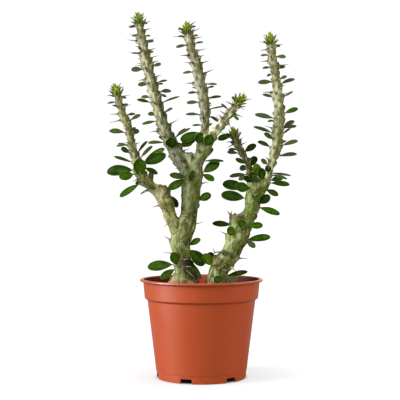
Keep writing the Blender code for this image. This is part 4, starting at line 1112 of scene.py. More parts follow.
def smooth_path(rows):
    """Rings along a smooth curve through the rows: (place, radius) about a step apart."""
    knots = []
    for across, height, depth, width in rows:
        radius = width / 2.0 * (1.0 + depth / STAND_OFF) * MM
        knots.append((*seen(across, height, depth), radius))
    knots = [Vector(knot) for knot in knots]
    ring = []
    for i in range(len(knots) - 1):
        before = knots[max(i - 1, 0)]
        start, end = knots[i], knots[i + 1]
        after = knots[min(i + 2, len(knots) - 1)]
        pieces = max(1, round((end.xyz - start.xyz).length / (SAMPLE_STEP * MM)))
        for k in range(pieces):
            t = k / pieces
            leave, arrive = (end - before) / 2.0, (after - start) / 2.0
            ring.append(start * (2 * t**3 - 3 * t**2 + 1) + leave * (t**3 - 2 * t**2 + t)
                        + end * (3 * t**2 - 2 * t**3) + arrive * (t**3 - t**2))
    ring.append(knots[-1])
    return [(knot.xyz, knot.w) for knot in ring]


def unit(rows):
    """Each row of vectors brought to length 1."""
    return rows / np.maximum(np.linalg.norm(rows, axis=1, keepdims=True), 1e-12)


class Tube:
    """One smooth length of stem, sampled every millimetre, and the areoles on it."""

    def __init__(self, stem, index):
        path = smooth_path(TUBES[stem][index])
        self.stem, self.index = stem, index
        self.end = ENDS.get((stem, index), "tip")
        self.fillet = STUB_FILLET if self.end in ("sawn", "broken") and index else FILLET
        self.place = np.array([tuple(place) for place, _ in path])
        self.radius = np.array([radius for _, radius in path])
        side = Vector((1.0, 0.0, 0.0))
        turns = []
        for i in range(len(path)):
            ahead = path[min(i + 1, len(path) - 1)][0] - path[max(i - 1, 0)][0]
            ahead.normalize()
            side = (side - ahead * side.dot(ahead)).normalized()
            turns.append((tuple(ahead), tuple(side), tuple(ahead.cross(side))))
        self.ahead, self.side, self.back = np.array(turns).transpose(1, 0, 2)
        gaps = np.linalg.norm(np.diff(self.place, axis=0), axis=1)
        self.travel = np.concatenate(([0.0], np.cumsum(gaps)))
        self.length = self.travel[-1]
        self.marks = []

    def at(self, travel):
        """(centre, radius, ahead, side, back) at distances along the tube."""
        where = np.interp(travel, self.travel, np.arange(len(self.travel)))
        low = np.minimum(where.astype(int), len(self.travel) - 2)
        share = where - low

        def between(rows):
            part = share.reshape((-1,) + (1,) * (rows.ndim - 1))
            return rows[low] * (1.0 - part) + rows[low + 1] * part
        return (between(self.place), between(self.radius), unit(between(self.ahead)),
                unit(between(self.side)), unit(between(self.back)))

    def locate(self, points):
        """Where points lie on the tube: (travel, angle, gap to the surface, way out)."""
        near = []
        for chunk in np.array_split(points, max(1, len(points) // 20000)):
            square = (chunk**2).sum(1)[:, None] + (self.place**2).sum(1)[None, :] \
                - 2.0 * chunk @ self.place.T
            near.append(np.argmin(np.sqrt(np.maximum(square, 0.0)) - self.radius, axis=1))
        near = np.concatenate(near)
        travel = self.travel[near]
        for _ in range(3):
            centre, _, ahead, _, _ = self.at(travel)
            travel = np.clip(travel + ((points - centre) * ahead).sum(1), 0.0, self.length)
        centre, radius, ahead, side, back = self.at(travel)
        offset = points - centre
        along = (offset * ahead).sum(1)
        outward = offset - ahead * along[:, None]
        reach = np.linalg.norm(outward, axis=1)
        outward = unit(outward)
        angle = np.arctan2((outward * back).sum(1), (outward * side).sum(1))
        past = np.maximum(travel + np.where(travel >= self.length, along, 0.0)
                          - self.length, -travel - np.where(travel <= 0.0, along, 0.0))
        cap = ahead * np.where(travel > self.length / 2.0, 1.0, -1.0)[:, None]
        radial = reach - radius
        share = np.clip(0.5 + 0.5 * (radial - past) / END_ROUND, 0.0, 1.0)
        gap = past * (1.0 - share) + radial * share + END_ROUND * share * (1.0 - share)
        way = unit(outward * share[:, None] + cap * (1.0 - share[:, None]))
        return travel, angle, gap, way

    def mark(self, point, size):
        """Sets an areole of a relative size at the surface near a point."""
        travel, angle, _, _ = self.locate(np.array([tuple(point)]))
        self.marks.append((float(travel[0]), float(angle[0]), size))

    def is_marked(self, travel, outward, radius):
        """Whether an areole already stands within MARK_ROOM of a place on the tube."""
        return any(abs(at - travel) < MARK_ROOM
                   and (outward - self.way_out(at, angle)).length * radius < MARK_ROOM
                   for at, angle, _ in self.marks)

    def way_out(self, travel, angle):
        _, _, _, side, back = self.at(np.array([travel]))
        return Vector(side[0] * math.cos(angle) + back[0] * math.sin(angle))

    def draft(self):
        """Corners and faces of a plain closed tube."""
        angles = np.linspace(0.0, 2.0 * math.pi, TUBE_SIDES, endpoint=False)
        rings = [self.place[i] + self.radius[i]
                 * (np.outer(np.cos(angles), self.side[i])
                    + np.outer(np.sin(angles), self.back[i]))
                 for i in range(len(self.place))]
        faces = [(i * TUBE_SIDES + j, i * TUBE_SIDES + (j + 1) % TUBE_SIDES,
                  (i + 1) * TUBE_SIDES + (j + 1) % TUBE_SIDES, (i + 1) * TUBE_SIDES + j)
                 for i in range(len(rings) - 1) for j in range(TUBE_SIDES)]
        last = (len(rings) - 1) * TUBE_SIDES
        faces.append(tuple(range(TUBE_SIDES - 1, -1, -1)))
        faces.append(tuple(range(last, last + TUBE_SIDES)))
        return np.concatenate(rings), faces


def nearest_tube(tubes, point):
    """The tube whose surface is nearest to a point."""
    spot = np.array([tuple(point)])
    return min(tubes, key=lambda tube: abs(tube.locate(spot)[2][0]))


# Leaves and spines


class Blade:
    """One leaf or spine: where it grows, how it lies and how it looks."""

    def __init__(self, root, tip, width, face, cup, arch, shade, chance, young):
        self.root, self.aim, self.face = root, tip - root, face
        self.form = (width, cup, arch)
        self.look = (shade, chance, young)


LEAF_SUNK = 0.10
SIDE_TURN = math.radians(38.0)
FRONT_SHARE = 0.60
MARK_ROOM = 2.0 * MM
LEAFY_TOP = 265.0 * MM
LARGE_LEAF = 5.6

# Where the growth by rule stops, in millimetres from the soil and from a tube's end
BARE_FOOT = 9.0
BARE_END = 2.0
LEAFY_END = 16.0

# Share of the areoles without a leaf, and of the trunk's areoles with a spine
BARE_LEAFY = 0.45
BARE_TRUNK = 0.86
BARE_BEHIND = 0.55
BARE_FRONT = 0.82
TRUNK_SPINES = 0.75


def blade_face(along, degrees):
    """The way a blade faces, turned from level towards the front."""
    angle = math.radians(degrees)
    flat = Vector((0.0, 0.0, 1.0)) - along * along.z
    front = Vector((0.0, -1.0, 0.0)) + along * along.y
    return flat.normalized() * math.cos(angle) + front.normalized() * math.sin(angle)


def stem_rings(stem):
    """The rings of all tubes of a stem."""
    return [ring for rows in TUBES[stem] for ring in smooth_path(rows)]


def nearest_ring(rings, across, height):
    """The ring at a point seen from the front: (centre, radius, the point there, aside)."""
    def miss(ring):
        base = seen(across, height, ring[0].y / MM)
        return (ring[0] - base).length - ring[1]
    centre, radius = min(rings, key=miss)
    base = seen(across, height, centre.y / MM)
    return centre, radius, base, max(-radius, min(radius, base.x - centre.x))


def listed_leaves(stem, draw):
    """The leaves that LEAVES lists for a stem, the small ones broadened and duller."""
    rings = stem_rings(stem)
    leaves = []
    for across, height, tip_across, tip_height, width, degrees, depth, *shade in LEAVES[stem]:
        centre, radius, base, aside = nearest_ring(rings, across, height)
        forward = math.sqrt(max(radius**2 - aside**2, 0.0)) * (1.0 if depth > 0 else -1.0)
        surface = Vector((centre.x + aside, centre.y + forward, base.z))
        root = surface.lerp(Vector((centre.x, centre.y, base.z)), LEAF_SUNK)
        tip = seen(tip_across, tip_height, surface.y / MM + depth)
        dullness = 0.0
        if width < LARGE_LEAF:
            width, degrees = width * 1.3, degrees + 15
            dullness = draw.uniform(0.3, 1.0)
        leaves.append(Blade(root, tip, width * MM, blade_face((tip - root).normalized(), degrees),
                            draw.uniform(0.03, 0.12), draw.uniform(0.05, 0.13),
                            *(shade or [draw.uniform(0.05, 0.35)]), draw.random(), -dullness))
    return leaves


def listed_spines(stem, draw):
    """The spines that SPINES lists for a stem, pale where they lie on a trunk."""
    rings = stem_rings(stem)
    spines = []
    for across, height, tip_across, tip_height, *own in SPINES[stem]:
        centre, radius, base, aside = nearest_ring(rings, across, height)
        turn = draw.uniform(0.15, 1.0) * SIDE_TURN * draw.choice((-1.0, 1.0))
        stout, pale = own[0] if own else 1.0, 0.0
        if abs(aside) > 0.8 * radius:
            root = Vector((centre.x + aside * math.cos(turn),
                           centre.y + radius * math.sin(turn), base.z))
            reach = abs(tip_across - across) * MM
            depth = (root.y + reach * math.tan(turn)) / MM
        else:
            root = Vector((centre.x + aside,
                           centre.y - math.sqrt(max(radius**2 - aside**2, 0.0)), base.z))
            depth = root.y / MM - draw.uniform(1.0, 4.0)
            pale = -1.0 if stem in TRUNKS and stout < 1.5 else 0.0
        tip = seen(tip_across, tip_height, depth)
        spines.append(spine(root, tip, draw, pale, stout))
    return spines


def spine(root, tip, draw, young, stout):
    """One spine from a little inside the skin to its tip."""
    along = (tip - root).normalized()
    face = Vector((0.0, 0.0, 1.0)) - along * along.z
    if face.length < 0.1:
        face = Vector((0.0, -1.0, 0.0)) + along * along.y
    return Blade(root - along * (0.8 * MM), tip, stout * draw.uniform(0.85, 1.15),
                 face.normalized(), draw.uniform(-0.05, 0.07), 0.0, 0.5, draw.random(), young)


def areole_places(tube, step, draw):
    """(travel, centre, outward, ahead, radius) by the golden angle up a tube."""
    count = int(tube.length / step)
    travels = (np.arange(count) + draw.random()) * step
    centres, radii, aheads, sides, backs = tube.at(travels)
    phase = draw.uniform(0.0, 2.0 * math.pi)
    for k in range(count):
        angle = phase + GOLDEN_ANGLE * k
        outward = sides[k] * math.cos(angle) + backs[k] * math.sin(angle)
        yield (travels[k], Vector(centres[k]), Vector(outward), Vector(aheads[k]),
               float(radii[k]))


def is_buried(tube, tubes, point, room):
    """Whether a point lies inside or too near to another tube."""
    spot = np.array([tuple(point)])
    return any(other.locate(spot)[2][0] < room for other in tubes if other is not tube)


def ruled_growth(tubes, settings, draw):
    """Spines and leaves at the areoles of the fronts and the backs."""
    spines, leaves = [], []
    for tube in tubes:
        if tube.end == "sawn":
            continue
        trunk = tube.stem in TRUNKS
        step = settings.trunk_step if trunk else settings.branch_step
        for travel, centre, outward, ahead, radius in areole_places(tube, step, draw):
            chance, size, second = draw.random(), draw.random(), draw.random()
            surface = centre + outward * radius
            side_on = abs(outward.x) > FRONT_SHARE
            if surface.z < (SOIL_TOP + BARE_FOOT) * MM or tube.length - travel < BARE_END * MM:
                continue
            if tube.is_marked(travel, outward, radius) \
                    or is_buried(tube, tubes, surface, 1.5 * MM):
                continue
            tube.mark(surface, (0.55 if trunk else 0.8) + 0.35 * size)
            if side_on:
                continue
            length = (6.5 + 4.0 * size) * MM
            way = (outward + ahead * (0.15 + 0.25 * second)).normalized()
            if not trunk or chance < TRUNK_SPINES:
                spines.append(spine(surface, surface + way * length, draw, -0.35, 0.8))
            behind = outward.y > 0.0
            leafy = behind and abs(outward.x) < 0.45 and surface.z < LEAFY_TOP \
                and tube.length - travel > LEAFY_END * MM
            bare = BARE_LEAFY if leafy else BARE_TRUNK if trunk \
                else BARE_BEHIND if behind else BARE_FRONT
            if chance < bare:
                continue
            reach = (11.0 + 10.0 * second) * MM if leafy else (5.5 + 4.5 * second) * MM
            wide = reach * (0.52 if leafy else 0.36)
            root = surface + ahead * (1.1 * MM) - outward * (0.4 * MM)
            way = Vector((outward.x * 0.5, outward.y, outward.z)) if leafy else outward
            tip = root + (way + ahead * (0.3 + 0.3 * size)).normalized() * reach
            if is_buried(tube, tubes, tip, 2.5 * MM):
                continue
            leaves.append(Blade(root, tip, wide, ahead, 0.07, 0.08, 0.1 + 0.3 * size, second,
                                0.0 if leafy else -0.7))
    return spines, leaves


TUFT_LEAFLETS = 28
TUFT_SPINES = 6


def tuft(tube, draw):
    """Upright leaflets and a few spines round a growing tip."""
    _, _, ahead, side, back = (Vector(rows[0]) if np.ndim(rows) > 1 else rows
                               for rows in tube.at(np.array([tube.length])))
    end = Vector(tube.place[-1])
    leaflets, spines = [], []
    for k in range(TUFT_LEAFLETS):
        angle = GOLDEN_ANGLE * k
        outward = side * math.cos(angle) + back * math.sin(angle)
        share = k / (TUFT_LEAFLETS - 1)
        lean = 0.08 + 1.45 * share**1.4
        root = end + outward * ((0.5 + 2.6 * share) * MM) - ahead * ((1.5 + 6.0 * share) * MM)
        reach = (9.4 - 1.2 * share) * draw.uniform(0.85, 1.1) * MM
        tip = root + (ahead + outward * lean).normalized() * reach
        face = (ahead * lean - outward).normalized()
        leaflets.append(Blade(root, tip, draw.uniform(2.6, 3.6) * MM, face, 0.15, -0.04,
                              0.3, draw.random(), 1.0 - 1.3 * share**1.3))
    for k in range(TUFT_SPINES):
        angle = GOLDEN_ANGLE * k + 0.8
        outward = side * math.cos(angle) + back * math.sin(angle)
        root = end + outward * (2.2 * MM) - ahead * ((2.0 + 1.0 * k) * MM)
        way = (ahead * draw.uniform(0.6, 1.3) + outward).normalized()
        spines.append(spine(root, root + way * (draw.uniform(9.0, 11.0) * MM), draw, 0.3, 0.8))
    return leaflets, spines


def seed_mesh(name, blades):
    """One vertex for each blade, which carries what the tree needs to grow it."""
    mesh = bpy.data.meshes.new(name)
    mesh.from_pydata([tuple(blade.root) for blade in blades], [], [])
    for key in ("root", "aim", "face", "form", "look"):
        store(mesh, key, [tuple(getattr(blade, key)) for blade in blades])
    return mesh


def blade_frame(tree):
    """The grown piece's own directions: (root, length, ahead, side, face)."""
    root, aim, face = (attribute(tree, key) for key in ("root", "aim", "face"))
    ahead = aim.unit()
    side = face.cross(ahead).unit()
    return root, aim.length(), ahead, side, ahead.cross(side).unit()


def planted(tree, size, shape):
    """The shape at every seed point, with its own places kept as the attribute blade."""
    spot = add_node(tree, "GeometryNodeInputPosition")
    kept = add_node(tree, "GeometryNodeStoreNamedAttribute", data_type="FLOAT_VECTOR",
                    domain="POINT", inputs={"Geometry": shape, "Name": "blade",
                                            "Value": spot.outputs[0]})
    placed = add_node(tree, "GeometryNodeInstanceOnPoints", {
        "Points": size["Geometry"], "Instance": kept.outputs[0]})
    real = add_node(tree, "GeometryNodeRealizeInstances", {"Geometry": placed.outputs[0]})
    return real.outputs[0]


def leaf_tree(name):
    """Leaf blades: a ball drawn out to a stalk, a cupped and arched blade and a round tip."""
    tree, size = new_form_tree(name, {
        "Segments": "Int", "Rings": "Int", "Thickness": "Float", "Stalk Share": "Float",
        "Stalk Radius": "Float", "Widest": "Float", "Point": "Float", "Ripple": "Float",
        "Material": "Material"})
    ball = add_node(tree, "GeometryNodeMeshUVSphere", {
        "Segments": size["Segments"], "Rings": size["Rings"], "Radius": 1.0})
    leaves = planted(tree, size, ball.outputs["Mesh"])
    root, length, ahead, side, face = blade_frame(tree)
    width, cup, arch = attribute(tree, "form").parts()
    _, chance, _ = attribute(tree, "look").parts()
    x, y, z = attribute(tree, "blade").parts()
    reach = (x * x + y * y + 1e-9).math("SQRT")
    aside, through = x / reach, y / reach
    share = z * 0.5 + 0.5
    blade = ((share - size["Stalk Share"]) / (1.0 - size["Stalk Share"])).math("MAXIMUM", 0.0)
    rise = ((blade / size["Widest"]).math("MINIMUM", 1.0) * (math.pi / 2.0)).math("SINE") ** 0.8
    late = (blade - size["Widest"]).math("MAXIMUM", 0.0) / (1.0 - size["Widest"])
    fall = (1.0 - late * late).math("MAXIMUM", 0.0) ** size["Point"]
    full = rise * fall
    half = (width * 0.5 * full).math("MAXIMUM", size["Stalk Radius"] * (1.0 - blade))
    thick = (size["Thickness"] * (full ** 0.6)).math("MAXIMUM",
                                                     size["Stalk Radius"] * (1.0 - blade))
    edge = aside.math("ABSOLUTE") ** 1.5
    wave = (share * 9.0 + chance * 20.0).math("SINE") * aside * size["Ripple"] * width * full
    lift = thick * through + cup * width * edge * full + wave - arch * length * share * share
    place = root + ahead * (length * share) + side * (half * aside) + face * lift
    shaped = add_node(tree, "GeometryNodeSetPosition", {"Geometry": leaves, "Position": place})
    close_form_tree(tree, shaped.outputs[0], size["Material"])
    return tree


def spine_tree(name):
    """Slim tapered spines with a swollen base and a slight bend."""
    tree, size = new_form_tree(name, {
        "Sides": "Int", "Segments": "Int", "Radius": "Float", "Material": "Material"})
    cone = add_node(tree, "GeometryNodeMeshCone", {
        "Vertices": size["Sides"], "Side Segments": size["Segments"], "Radius Top": 0.0,
        "Radius Bottom": 1.0, "Depth": 1.0})
    spines = planted(tree, size, cone.outputs["Mesh"])
    root, length, ahead, side, face = blade_frame(tree)
    width, bend, _ = attribute(tree, "form").parts()
    x, y, share = attribute(tree, "blade").parts()
    swell = ((share * -9.0).math("EXPONENT") * 1.5 + 1.0) * (share * 0.8 + 1.0)
    radius = size["Radius"] * width * swell
    place = root + ahead * (length * share) + side * (radius * x) \
        + face * (radius * y + bend * length * share * (1.0 - share) * 2.0)
    shaped = add_node(tree, "GeometryNodeSetPosition", {"Geometry": spines, "Position": place})
    close_form_tree(tree, shaped.outputs[0], size["Material"])
    return tree


# Stem skin


def plant_field(tubes, points):
    """The smooth union of the tubes at points: (gap, way out, share of each tube, spots)."""
    gap, way, spots, gaps = None, None, [], []
    for tube in tubes:
        travel, angle, own, out = tube.locate(points)
        spots.append((travel, angle))
        gaps.append(own)
        if gap is None:
            gap, way = own, out
            continue
        share = np.clip(0.5 + 0.5 * (gap - own) / tube.fillet, 0.0, 1.0)
        way = way * (1.0 - share[:, None]) + out * share[:, None]
        gap = gap * (1.0 - share) + own * share - tube.fillet * share * (1.0 - share)
    gaps = np.array(gaps)
    weight = np.exp(-np.clip((gaps - gaps.min(axis=0)) / (1.2 * MM), 0.0, 40.0))
    return gap, unit(way), weight / weight.sum(axis=0), spots


# How broad a tubercle is and how far it runs down, in millimetres
TRUNK_TUBERCLE = (2.3, 7.0)
BRANCH_TUBERCLE = (1.65, 5.2)
TUBERCLE_REACH = 13.0


def areole_relief(tube, travel, angle):
    """Raised tubercles that run down from each areole: (relief, brown of the areoles)."""
    relief = np.zeros(len(travel))
    brown = np.zeros(len(travel))
    radius = np.interp(travel, tube.travel, tube.radius)
    broad, down = TRUNK_TUBERCLE if tube.stem in TRUNKS else BRANCH_TUBERCLE
    for at, turn, size in tube.marks:
        near = np.flatnonzero(np.abs(travel - at) < TUBERCLE_REACH * MM)
        up = (travel[near] - at) / MM
        turned = (angle[near] - turn + math.pi) % (2.0 * math.pi) - math.pi
        aside = turned * radius[near] / MM
        along = np.where(up > 0.0, np.exp(-(up / 1.3) ** 2), np.exp(-(up / down) ** 2))
        bump = size * along * np.exp(-(aside / broad) ** 2)
        relief[near] = np.maximum(relief[near], bump) + 0.2 * np.minimum(relief[near], bump)
        spot = np.minimum(1.6 * np.exp(-((up - 0.6) / 2.2) ** 2 - (aside / 2.2) ** 2), 1.0)
        brown[near] = np.maximum(brown[near], min(size, 1.0) * spot)
    return relief, brown


def wrapped_skin(tubes, voxel):
    """A closed mesh round the tubes, and its corners drawn onto their smooth union."""
    corners, faces, count = [], [], 0
    for tube in tubes:
        own, rims = tube.draft()
        corners.append(own)
        faces += [tuple(count + corner for corner in face) for face in rims]
        count += len(own)
    mesh = bpy.data.meshes.new("stem_draft")
    mesh.from_pydata(np.concatenate(corners).tolist(), [], faces)
    holder = link_object("stem_draft", mesh)
    wrap = holder.modifiers.new("wrap", "REMESH")
    wrap.mode = "VOXEL"
    wrap.voxel_size = voxel
    wrap.use_smooth_shade = True
    made = settled_mesh(holder)
    points = corner_places(made)
    for _ in range(3):
        gap, way, _, _ = plant_field(tubes, points)
        points -= way * np.clip(gap, -1.5 * MM, 1.5 * MM)[:, None]
    return made, points


def strand_noise(grain, cell, shift=0.0):
    """Noise in a stem's own directions, with cells of these millimetres."""
    return value_noise(grain / (np.array(cell) * MM) + shift)


def add_patches(level, rows, look, wobble, front):
    """The level, raised in each listed soft-edged patch on the front of the stems."""
    for across, height, wide, strength in rows:
        away = np.hypot(look[0] - across, look[1] - height) / wide + wobble
        level = np.maximum(level, front * strength * np.clip(1.6 - 1.4 * away, 0.0, 1.0))
    return level


def stem_surface(tubes, settings):
    """One closed skin over a plant's tubes, with the attributes that its finish reads."""
    made, points = wrapped_skin(tubes, settings.voxel)
    _, way, weight, spots = plant_field(tubes, points)
    best = weight.argmax(axis=0)
    raised, relief, brown, wax = (np.zeros(len(points)) for _ in range(4))
    grain, tint = np.zeros((len(points), 3)), np.zeros((len(points), 3))
    youth, cut = np.zeros(len(points)), np.zeros(len(points))
    for k, (tube, (travel, angle)) in enumerate(zip(tubes, spots)):
        bump, spot = areole_relief(tube, travel, angle)
        raised += weight[k] * bump
        brown += weight[k] * spot
        share = np.clip(travel / tube.length, 0.0, 1.0)[:, None]
        low, high, waxy = TINTS[tube.stem, tube.index]
        tint += weight[k][:, None] * (np.array(low) * (1.0 - share) + np.array(high) * share)
        wax += weight[k] * waxy
        radius = np.interp(travel, tube.travel, tube.radius)
        own = best == k
        grain[own] = np.stack([radius * np.cos(angle), radius * np.sin(angle),
                               travel + 0.31 * k], axis=1)[own]
        if tube.end == "tip":
            youth += weight[k] * np.exp(-(tube.length - travel) / (16.0 * MM))
        elif tube.end != "hidden":
            top = tube.length - travel
            rim = weight[k] * np.clip(1.0 - top / (1.2 * MM), 0.0, 1.0)
            cut = np.maximum(cut, rim * (1.0 if tube.end == "sawn" else 0.35))
            brown += weight[k] * np.exp(-top / (4.0 * MM)) \
                * (1.1 if tube.end == "broken" else 0.0)
            inner = weight[k] * (top < 0.5 * MM)
            centre = tube.at(travel)[0]
            reach = np.linalg.norm(points - centre, axis=1) / radius
            if tube.end == "sawn":
                relief -= inner * 0.9 * MM * np.clip(1.0 - reach**2, 0.0, 1.0)
            else:
                ragged = value_noise(points / (1.8 * MM)) - 0.5
                relief += inner * 6.0 * MM * ragged * np.clip(1.4 - reach, 0.0, 1.0)
    height = points[:, 2] / MM
    trunk = sum(weight[k] for k, tube in enumerate(tubes) if tube.stem in TRUNKS)
    young_strand = strand_noise(grain, (1.6, 1.6, 11.0))
    old_strand = strand_noise(grain, (2.4, 2.4, 6.0), 5.0)
    strand = young_strand * (1.0 - trunk) + old_strand * trunk
    knob = strand_noise(grain, (6.5, 6.5, 10.0), 9.0)
    crease = strand_noise(grain, (3.0, 3.0, 1.5), 13.0)
    pit = strand_noise(grain, (0.95, 0.95, 1.8), 3.0)
    fibre = strand_noise(grain, (2.2, 2.2, 9.0), 17.0)
    foot = np.clip((110.0 - height) / 7.0, 0.0, 1.0)
    bark = foot * np.clip(fibre * 3.2 - 0.6, 0.0, 1.0)
    rough = (strand - 0.5) * 0.6 + (knob - 0.5) * (0.5 + 0.9 * trunk) \
        + (crease - 0.5) * (0.15 + 0.2 * trunk) + (pit - 0.5) * 0.22
    total = relief + settings.tubercle * (raised - 0.78 + 0.42 * trunk) * (1.0 - 0.45 * trunk)
    total += (rough * (1.0 - 0.6 * youth) + bark * 1.8) * MM
    front = way[:, 1] < 0.25
    seen_scale = 1.0 + points[:, 1] / MM / STAND_OFF
    look = (EYE_SIDE + (points[:, 0] / MM - EYE_SIDE) / seen_scale,
            EYE_HEIGHT + (points[:, 2] / MM - EYE_HEIGHT) / seen_scale)
    scar = add_patches(brown * (0.55 + 0.5 * pit), SCARS, look, (pit - 0.5) * 0.9, front)
    # Darker towards the bottom, below the pot's rim, then painted shade in the listed shade
    # patches
    dark = np.clip((103.0 - height) / 8.0, 0.0, 1.0) * 0.4
    dark = add_patches(dark, PAINTED_SHADE_PATCHES, look, (strand - 0.5) * 0.5, front)
    # ridge also paints light and shade over the relief: paler on the raised tubercles, darker
    # between them
    ridge = 0.12 + raised * 0.72 + (strand - 0.5) * 0.35
    points += way * total[:, None]
    made.vertices.foreach_set("co", points.ravel())
    store(made, "grain", grain)
    store(made, "form", np.stack([np.clip(ridge, 0.0, 1.0), np.clip(scar, 0.0, 1.0), dark],
                                 axis=1))
    store(made, "stage", np.stack([np.clip(youth, 0.0, 1.0), bark, cut], axis=1))
    # The third part is painted light: skin that faces the key light on the left and front is made
    # paler and waxier than the far side
    store(made, "coat", np.stack([wax, trunk, way @ np.array([-0.86, -0.45, 0.2])], axis=1))
    store(made, "tint", tint)
    made.update()
    made.shade_smooth()
    return made


class OCOTILLO_OT_grow_plants(bpy.types.Operator):
    """Grow the stems, leaves and spines of both plants"""

    bl_idname = "ocotillo.grow_plants"
    bl_label = "Grow the Plants"

    def execute(self, context):
        settings = context.scene.ocotillo_plant
        skin, blade, needle = stem_skin(settings), leaf_blade(settings), spine_finish(settings)
        leaf_form, spine_form = leaf_tree("Leaf Blades"), spine_tree("Spines")
        for number, (plant, stems) in enumerate(PLANTS.items()):
            draw = random.Random(100 + number)
            tubes = [Tube(stem, i) for stem in stems for i in range(len(TUBES[stem]))]
            grown, shoots, spines = [], [], []
            for stem in stems:
                own = [tube for tube in tubes if tube.stem == stem]
                for leaf in listed_leaves(stem, draw):
                    grown.append(leaf)
                    nearest_tube(own, leaf.root).mark(leaf.root, 1.2)
                for one in listed_spines(stem, draw):
                    spines.append(one)
                    nearest_tube(own, one.root).mark(one.root, 1.7)
            ruled_spines, ruled_leaves = ruled_growth(tubes, settings, draw)
            spines += ruled_spines
            grown += ruled_leaves
            large = [leaf for leaf in grown if leaf.form[0] > LARGE_LEAF * MM]
            small = [leaf for leaf in grown if leaf.form[0] <= LARGE_LEAF * MM]
            for tube in tubes:
                if tube.end == "tip":
                    own_shoots, own_spines = tuft(tube, draw)
                    shoots += own_shoots
                    spines += own_spines
            surface = stem_surface(tubes, settings)
            surface.materials.append(skin)
            add_piece(f"{plant}_stems", surface, stems)
            for label, blades, segments, rings, thick, stalk, widest, point in (
                    ("leaves", large, 16, 14, 1.0, 0.09, 0.58, 0.5),
                    ("leaflets", small, 8, 6, 1.35, 0.06, 0.58, 0.5),
                    ("shoots", shoots, 8, 6, 1.1, 0.0, 0.36, 1.0)):
                mesh = grown_mesh(f"{plant}_{label}", seed_mesh(label, blades), leaf_form, {
                    "Thickness": settings.leaf_thickness * thick, "Stalk Radius": 0.6 * MM,
                    "Ripple": 0.02, "Segments": segments, "Rings": rings,
                    "Stalk Share": stalk, "Widest": widest, "Point": point,
                    "Material": blade})
                add_piece(f"{plant}_{label}", mesh, stems)
            mesh = grown_mesh(f"{plant}_spines", seed_mesh("spines", spines), spine_form, {
                "Sides": 6, "Segments": 4, "Radius": settings.spine_radius,
                "Material": needle})
            add_piece(f"{plant}_spines", mesh, stems)
        return {"FINISHED"}


# The stage


def look_from(thing, place, target):
    """Puts a lamp or camera at a place and turns it to the target."""
    thing.location = place
    thing.rotation_euler = (Vector(target) - Vector(place)).to_track_quat("-Z", "Y").to_euler()


def studio_floor(settings):
    """White where it is seen, with faint shadows from the lamps and a painted shadow ring round
    the pot's foot, and duller where it lights the plant.
    """
    look = Finish("white_studio_floor", 1.0, specular=0.0)
    tree = look.tree
    share = settings.bounce
    look.shader.inputs["Base Color"].default_value = (share, share, share, 1.0)
    path = add_node(tree, "ShaderNodeLightPath")
    pale = add_node(tree, "ShaderNodeBsdfDiffuse", {"Color": (0.24, 0.24, 0.24)})
    # The glow fades towards the pot's foot: a painted contact shadow round the pot
    away = (look.place() * (1.0, 1.0, 0.0)).length()
    glow = add_node(tree, "ShaderNodeEmission", {
        "Color": (1.0, 1.0, 1.0),
        "Strength": 0.68 * away.smooth(0.040, 0.052) + 0.17 * away.smooth(0.047, 0.135)})
    white = add_node(tree, "ShaderNodeAddShader", {0: pale.outputs[0], 1: glow.outputs[0]})
    both = add_node(tree, "ShaderNodeMixShader", {
        0: path.outputs["Is Camera Ray"], 1: look.shader.outputs[0], 2: white.outputs[0]})
    feed(tree, tree.nodes["Material Output"].inputs["Surface"], both.outputs[0])
    return look.material


FLOOR_RADIUS = 40.0
BACKDROP_GLOW = 1.05
SENSOR_WIDTH = 36.0


def lay_floor(settings):
    """A round studio floor under the pot."""
    shape = bmesh.new()
    bmesh.ops.create_circle(shape, cap_ends=True, segments=96, radius=FLOOR_RADIUS)
    mesh = mesh_from(shape, "studio_floor")
    mesh.materials.append(studio_floor(settings))
    floor = link_object("studio_floor", mesh)


def studio_sky(settings):
    """Even light from all sides, which looks white to the camera."""
    sky = bpy.data.worlds.new("white_studio")
    sky.use_nodes = True
    tree = sky.node_tree
    path = add_node(tree, "ShaderNodeLightPath")
    seen_straight = Term(tree, path.outputs["Is Camera Ray"])
    strength = seen_straight * (BACKDROP_GLOW - settings.sky) + settings.sky
    backdrop = tree.nodes["Background"]
    backdrop.inputs["Color"].default_value = (1.0, 1.0, 1.0, 1.0)
    feed(tree, backdrop.inputs["Strength"], strength)
    return sky


def add_lamp(name, kind, energy, place, target=(0.0, 0.0, 0.0), **form):
    """A lamp at a place that shines at a target, with its own angle or shape."""
    light = bpy.data.lights.new(name, kind)
    light.energy = energy
    for key, value in form.items():
        setattr(light, key, value)
    lamp = link_object(name, light)
    look_from(lamp, place, target)
    return lamp


def hang_lamps(settings):
    """The suns from the left, the front and the back, and two soft boxes."""
    add_lamp("key_light", "SUN", settings.key, (-1.0, -0.36, 0.50), angle=settings.key_angle)
    add_lamp("front_light", "SUN", settings.front, (0.1, -1.0, 0.45), angle=math.radians(75.0))
    add_lamp("back_light", "SUN", settings.back, (0.35, 1.0, 0.55), angle=math.radians(60.0))
    add_lamp("side_light", "AREA", settings.fill, (1.1, -0.25, 0.55), (0.0, 0.0, 0.18),
             shape="RECTANGLE", size=0.5, size_y=1.0)
    gloss = add_lamp("sheen_light", "AREA", settings.sheen, (-1.0, -0.33, 0.20),
                     (0.0, 0.0, 0.06), shape="RECTANGLE", size=0.5, size_y=0.5)
    gloss.visible_diffuse = False


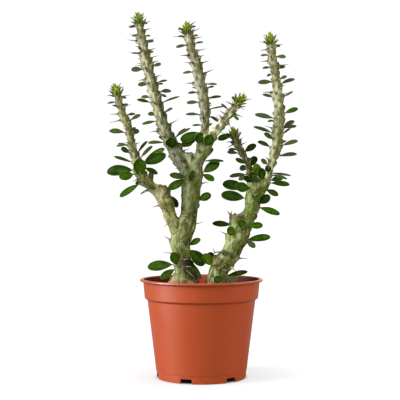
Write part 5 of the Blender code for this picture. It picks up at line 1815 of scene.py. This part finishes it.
def set_camera(settings):
    """The camera level with the plant's middle, where the photograph was taken from."""
    lens = bpy.data.cameras.new("camera")
    lens.lens, lens.sensor_width = settings.lens, SENSOR_WIDTH
    camera = link_object("camera", lens)
    look_from(camera, (EYE_SIDE * MM, -STAND_OFF * MM, EYE_HEIGHT * MM),
              (EYE_SIDE * MM, 0.0, EYE_HEIGHT * MM))
    return camera


class OCOTILLO_OT_set_stage(bpy.types.Operator):
    """Set up the floor, the light and the camera"""

    bl_idname = "ocotillo.set_stage"
    bl_label = "Set the Stage"

    def execute(self, context):
        settings = context.scene.ocotillo_stage
        scene = context.scene
        lay_floor(settings)
        scene.world = studio_sky(settings)
        hang_lamps(settings)
        scene.camera = set_camera(settings)
        scene.view_settings.view_transform = "Standard"
        scene.view_settings.look = "None"
        return {"FINISHED"}


class OCOTILLO_PT_panel(bpy.types.Panel):
    """Lists what makes the potted ocotillo"""

    bl_label = "Potted Ocotillo"
    bl_idname = "OCOTILLO_PT_panel"
    bl_space_type = "VIEW_3D"
    bl_region_type = "UI"
    bl_category = "Ocotillo"

    def draw(self, context):
        for operator, key in STEPS:
            box = self.layout.box()
            box.operator(operator.bl_idname)
            settings = getattr(context.scene, key)
            for name in settings.bl_rna.properties.keys():
                if name not in ("rna_type", "name"):
                    box.prop(settings, name)


SETTINGS = {"ocotillo_pot": PotSettings, "ocotillo_soil": SoilSettings,
            "ocotillo_plant": PlantSettings, "ocotillo_stage": StageSettings}
STEPS = ((OCOTILLO_OT_mould_pot, "ocotillo_pot"), (OCOTILLO_OT_fill_soil, "ocotillo_soil"),
         (OCOTILLO_OT_grow_plants, "ocotillo_plant"), (OCOTILLO_OT_set_stage, "ocotillo_stage"))
CLASSES = (*SETTINGS.values(), *(operator for operator, _ in STEPS), OCOTILLO_PT_panel)


def register():
    for kind in CLASSES:
        bpy.utils.register_class(kind)
    for key, kind in SETTINGS.items():
        setattr(bpy.types.Scene, key, PointerProperty(type=kind))


def unregister():
    for key in SETTINGS:
        delattr(bpy.types.Scene, key)
    for kind in reversed(CLASSES):
        bpy.utils.unregister_class(kind)


def main():
    register()
    bpy.ops.ocotillo.mould_pot()
    bpy.ops.ocotillo.fill_soil()
    bpy.ops.ocotillo.grow_plants()
    bpy.ops.ocotillo.set_stage()


if __name__ == "__main__":
    main()
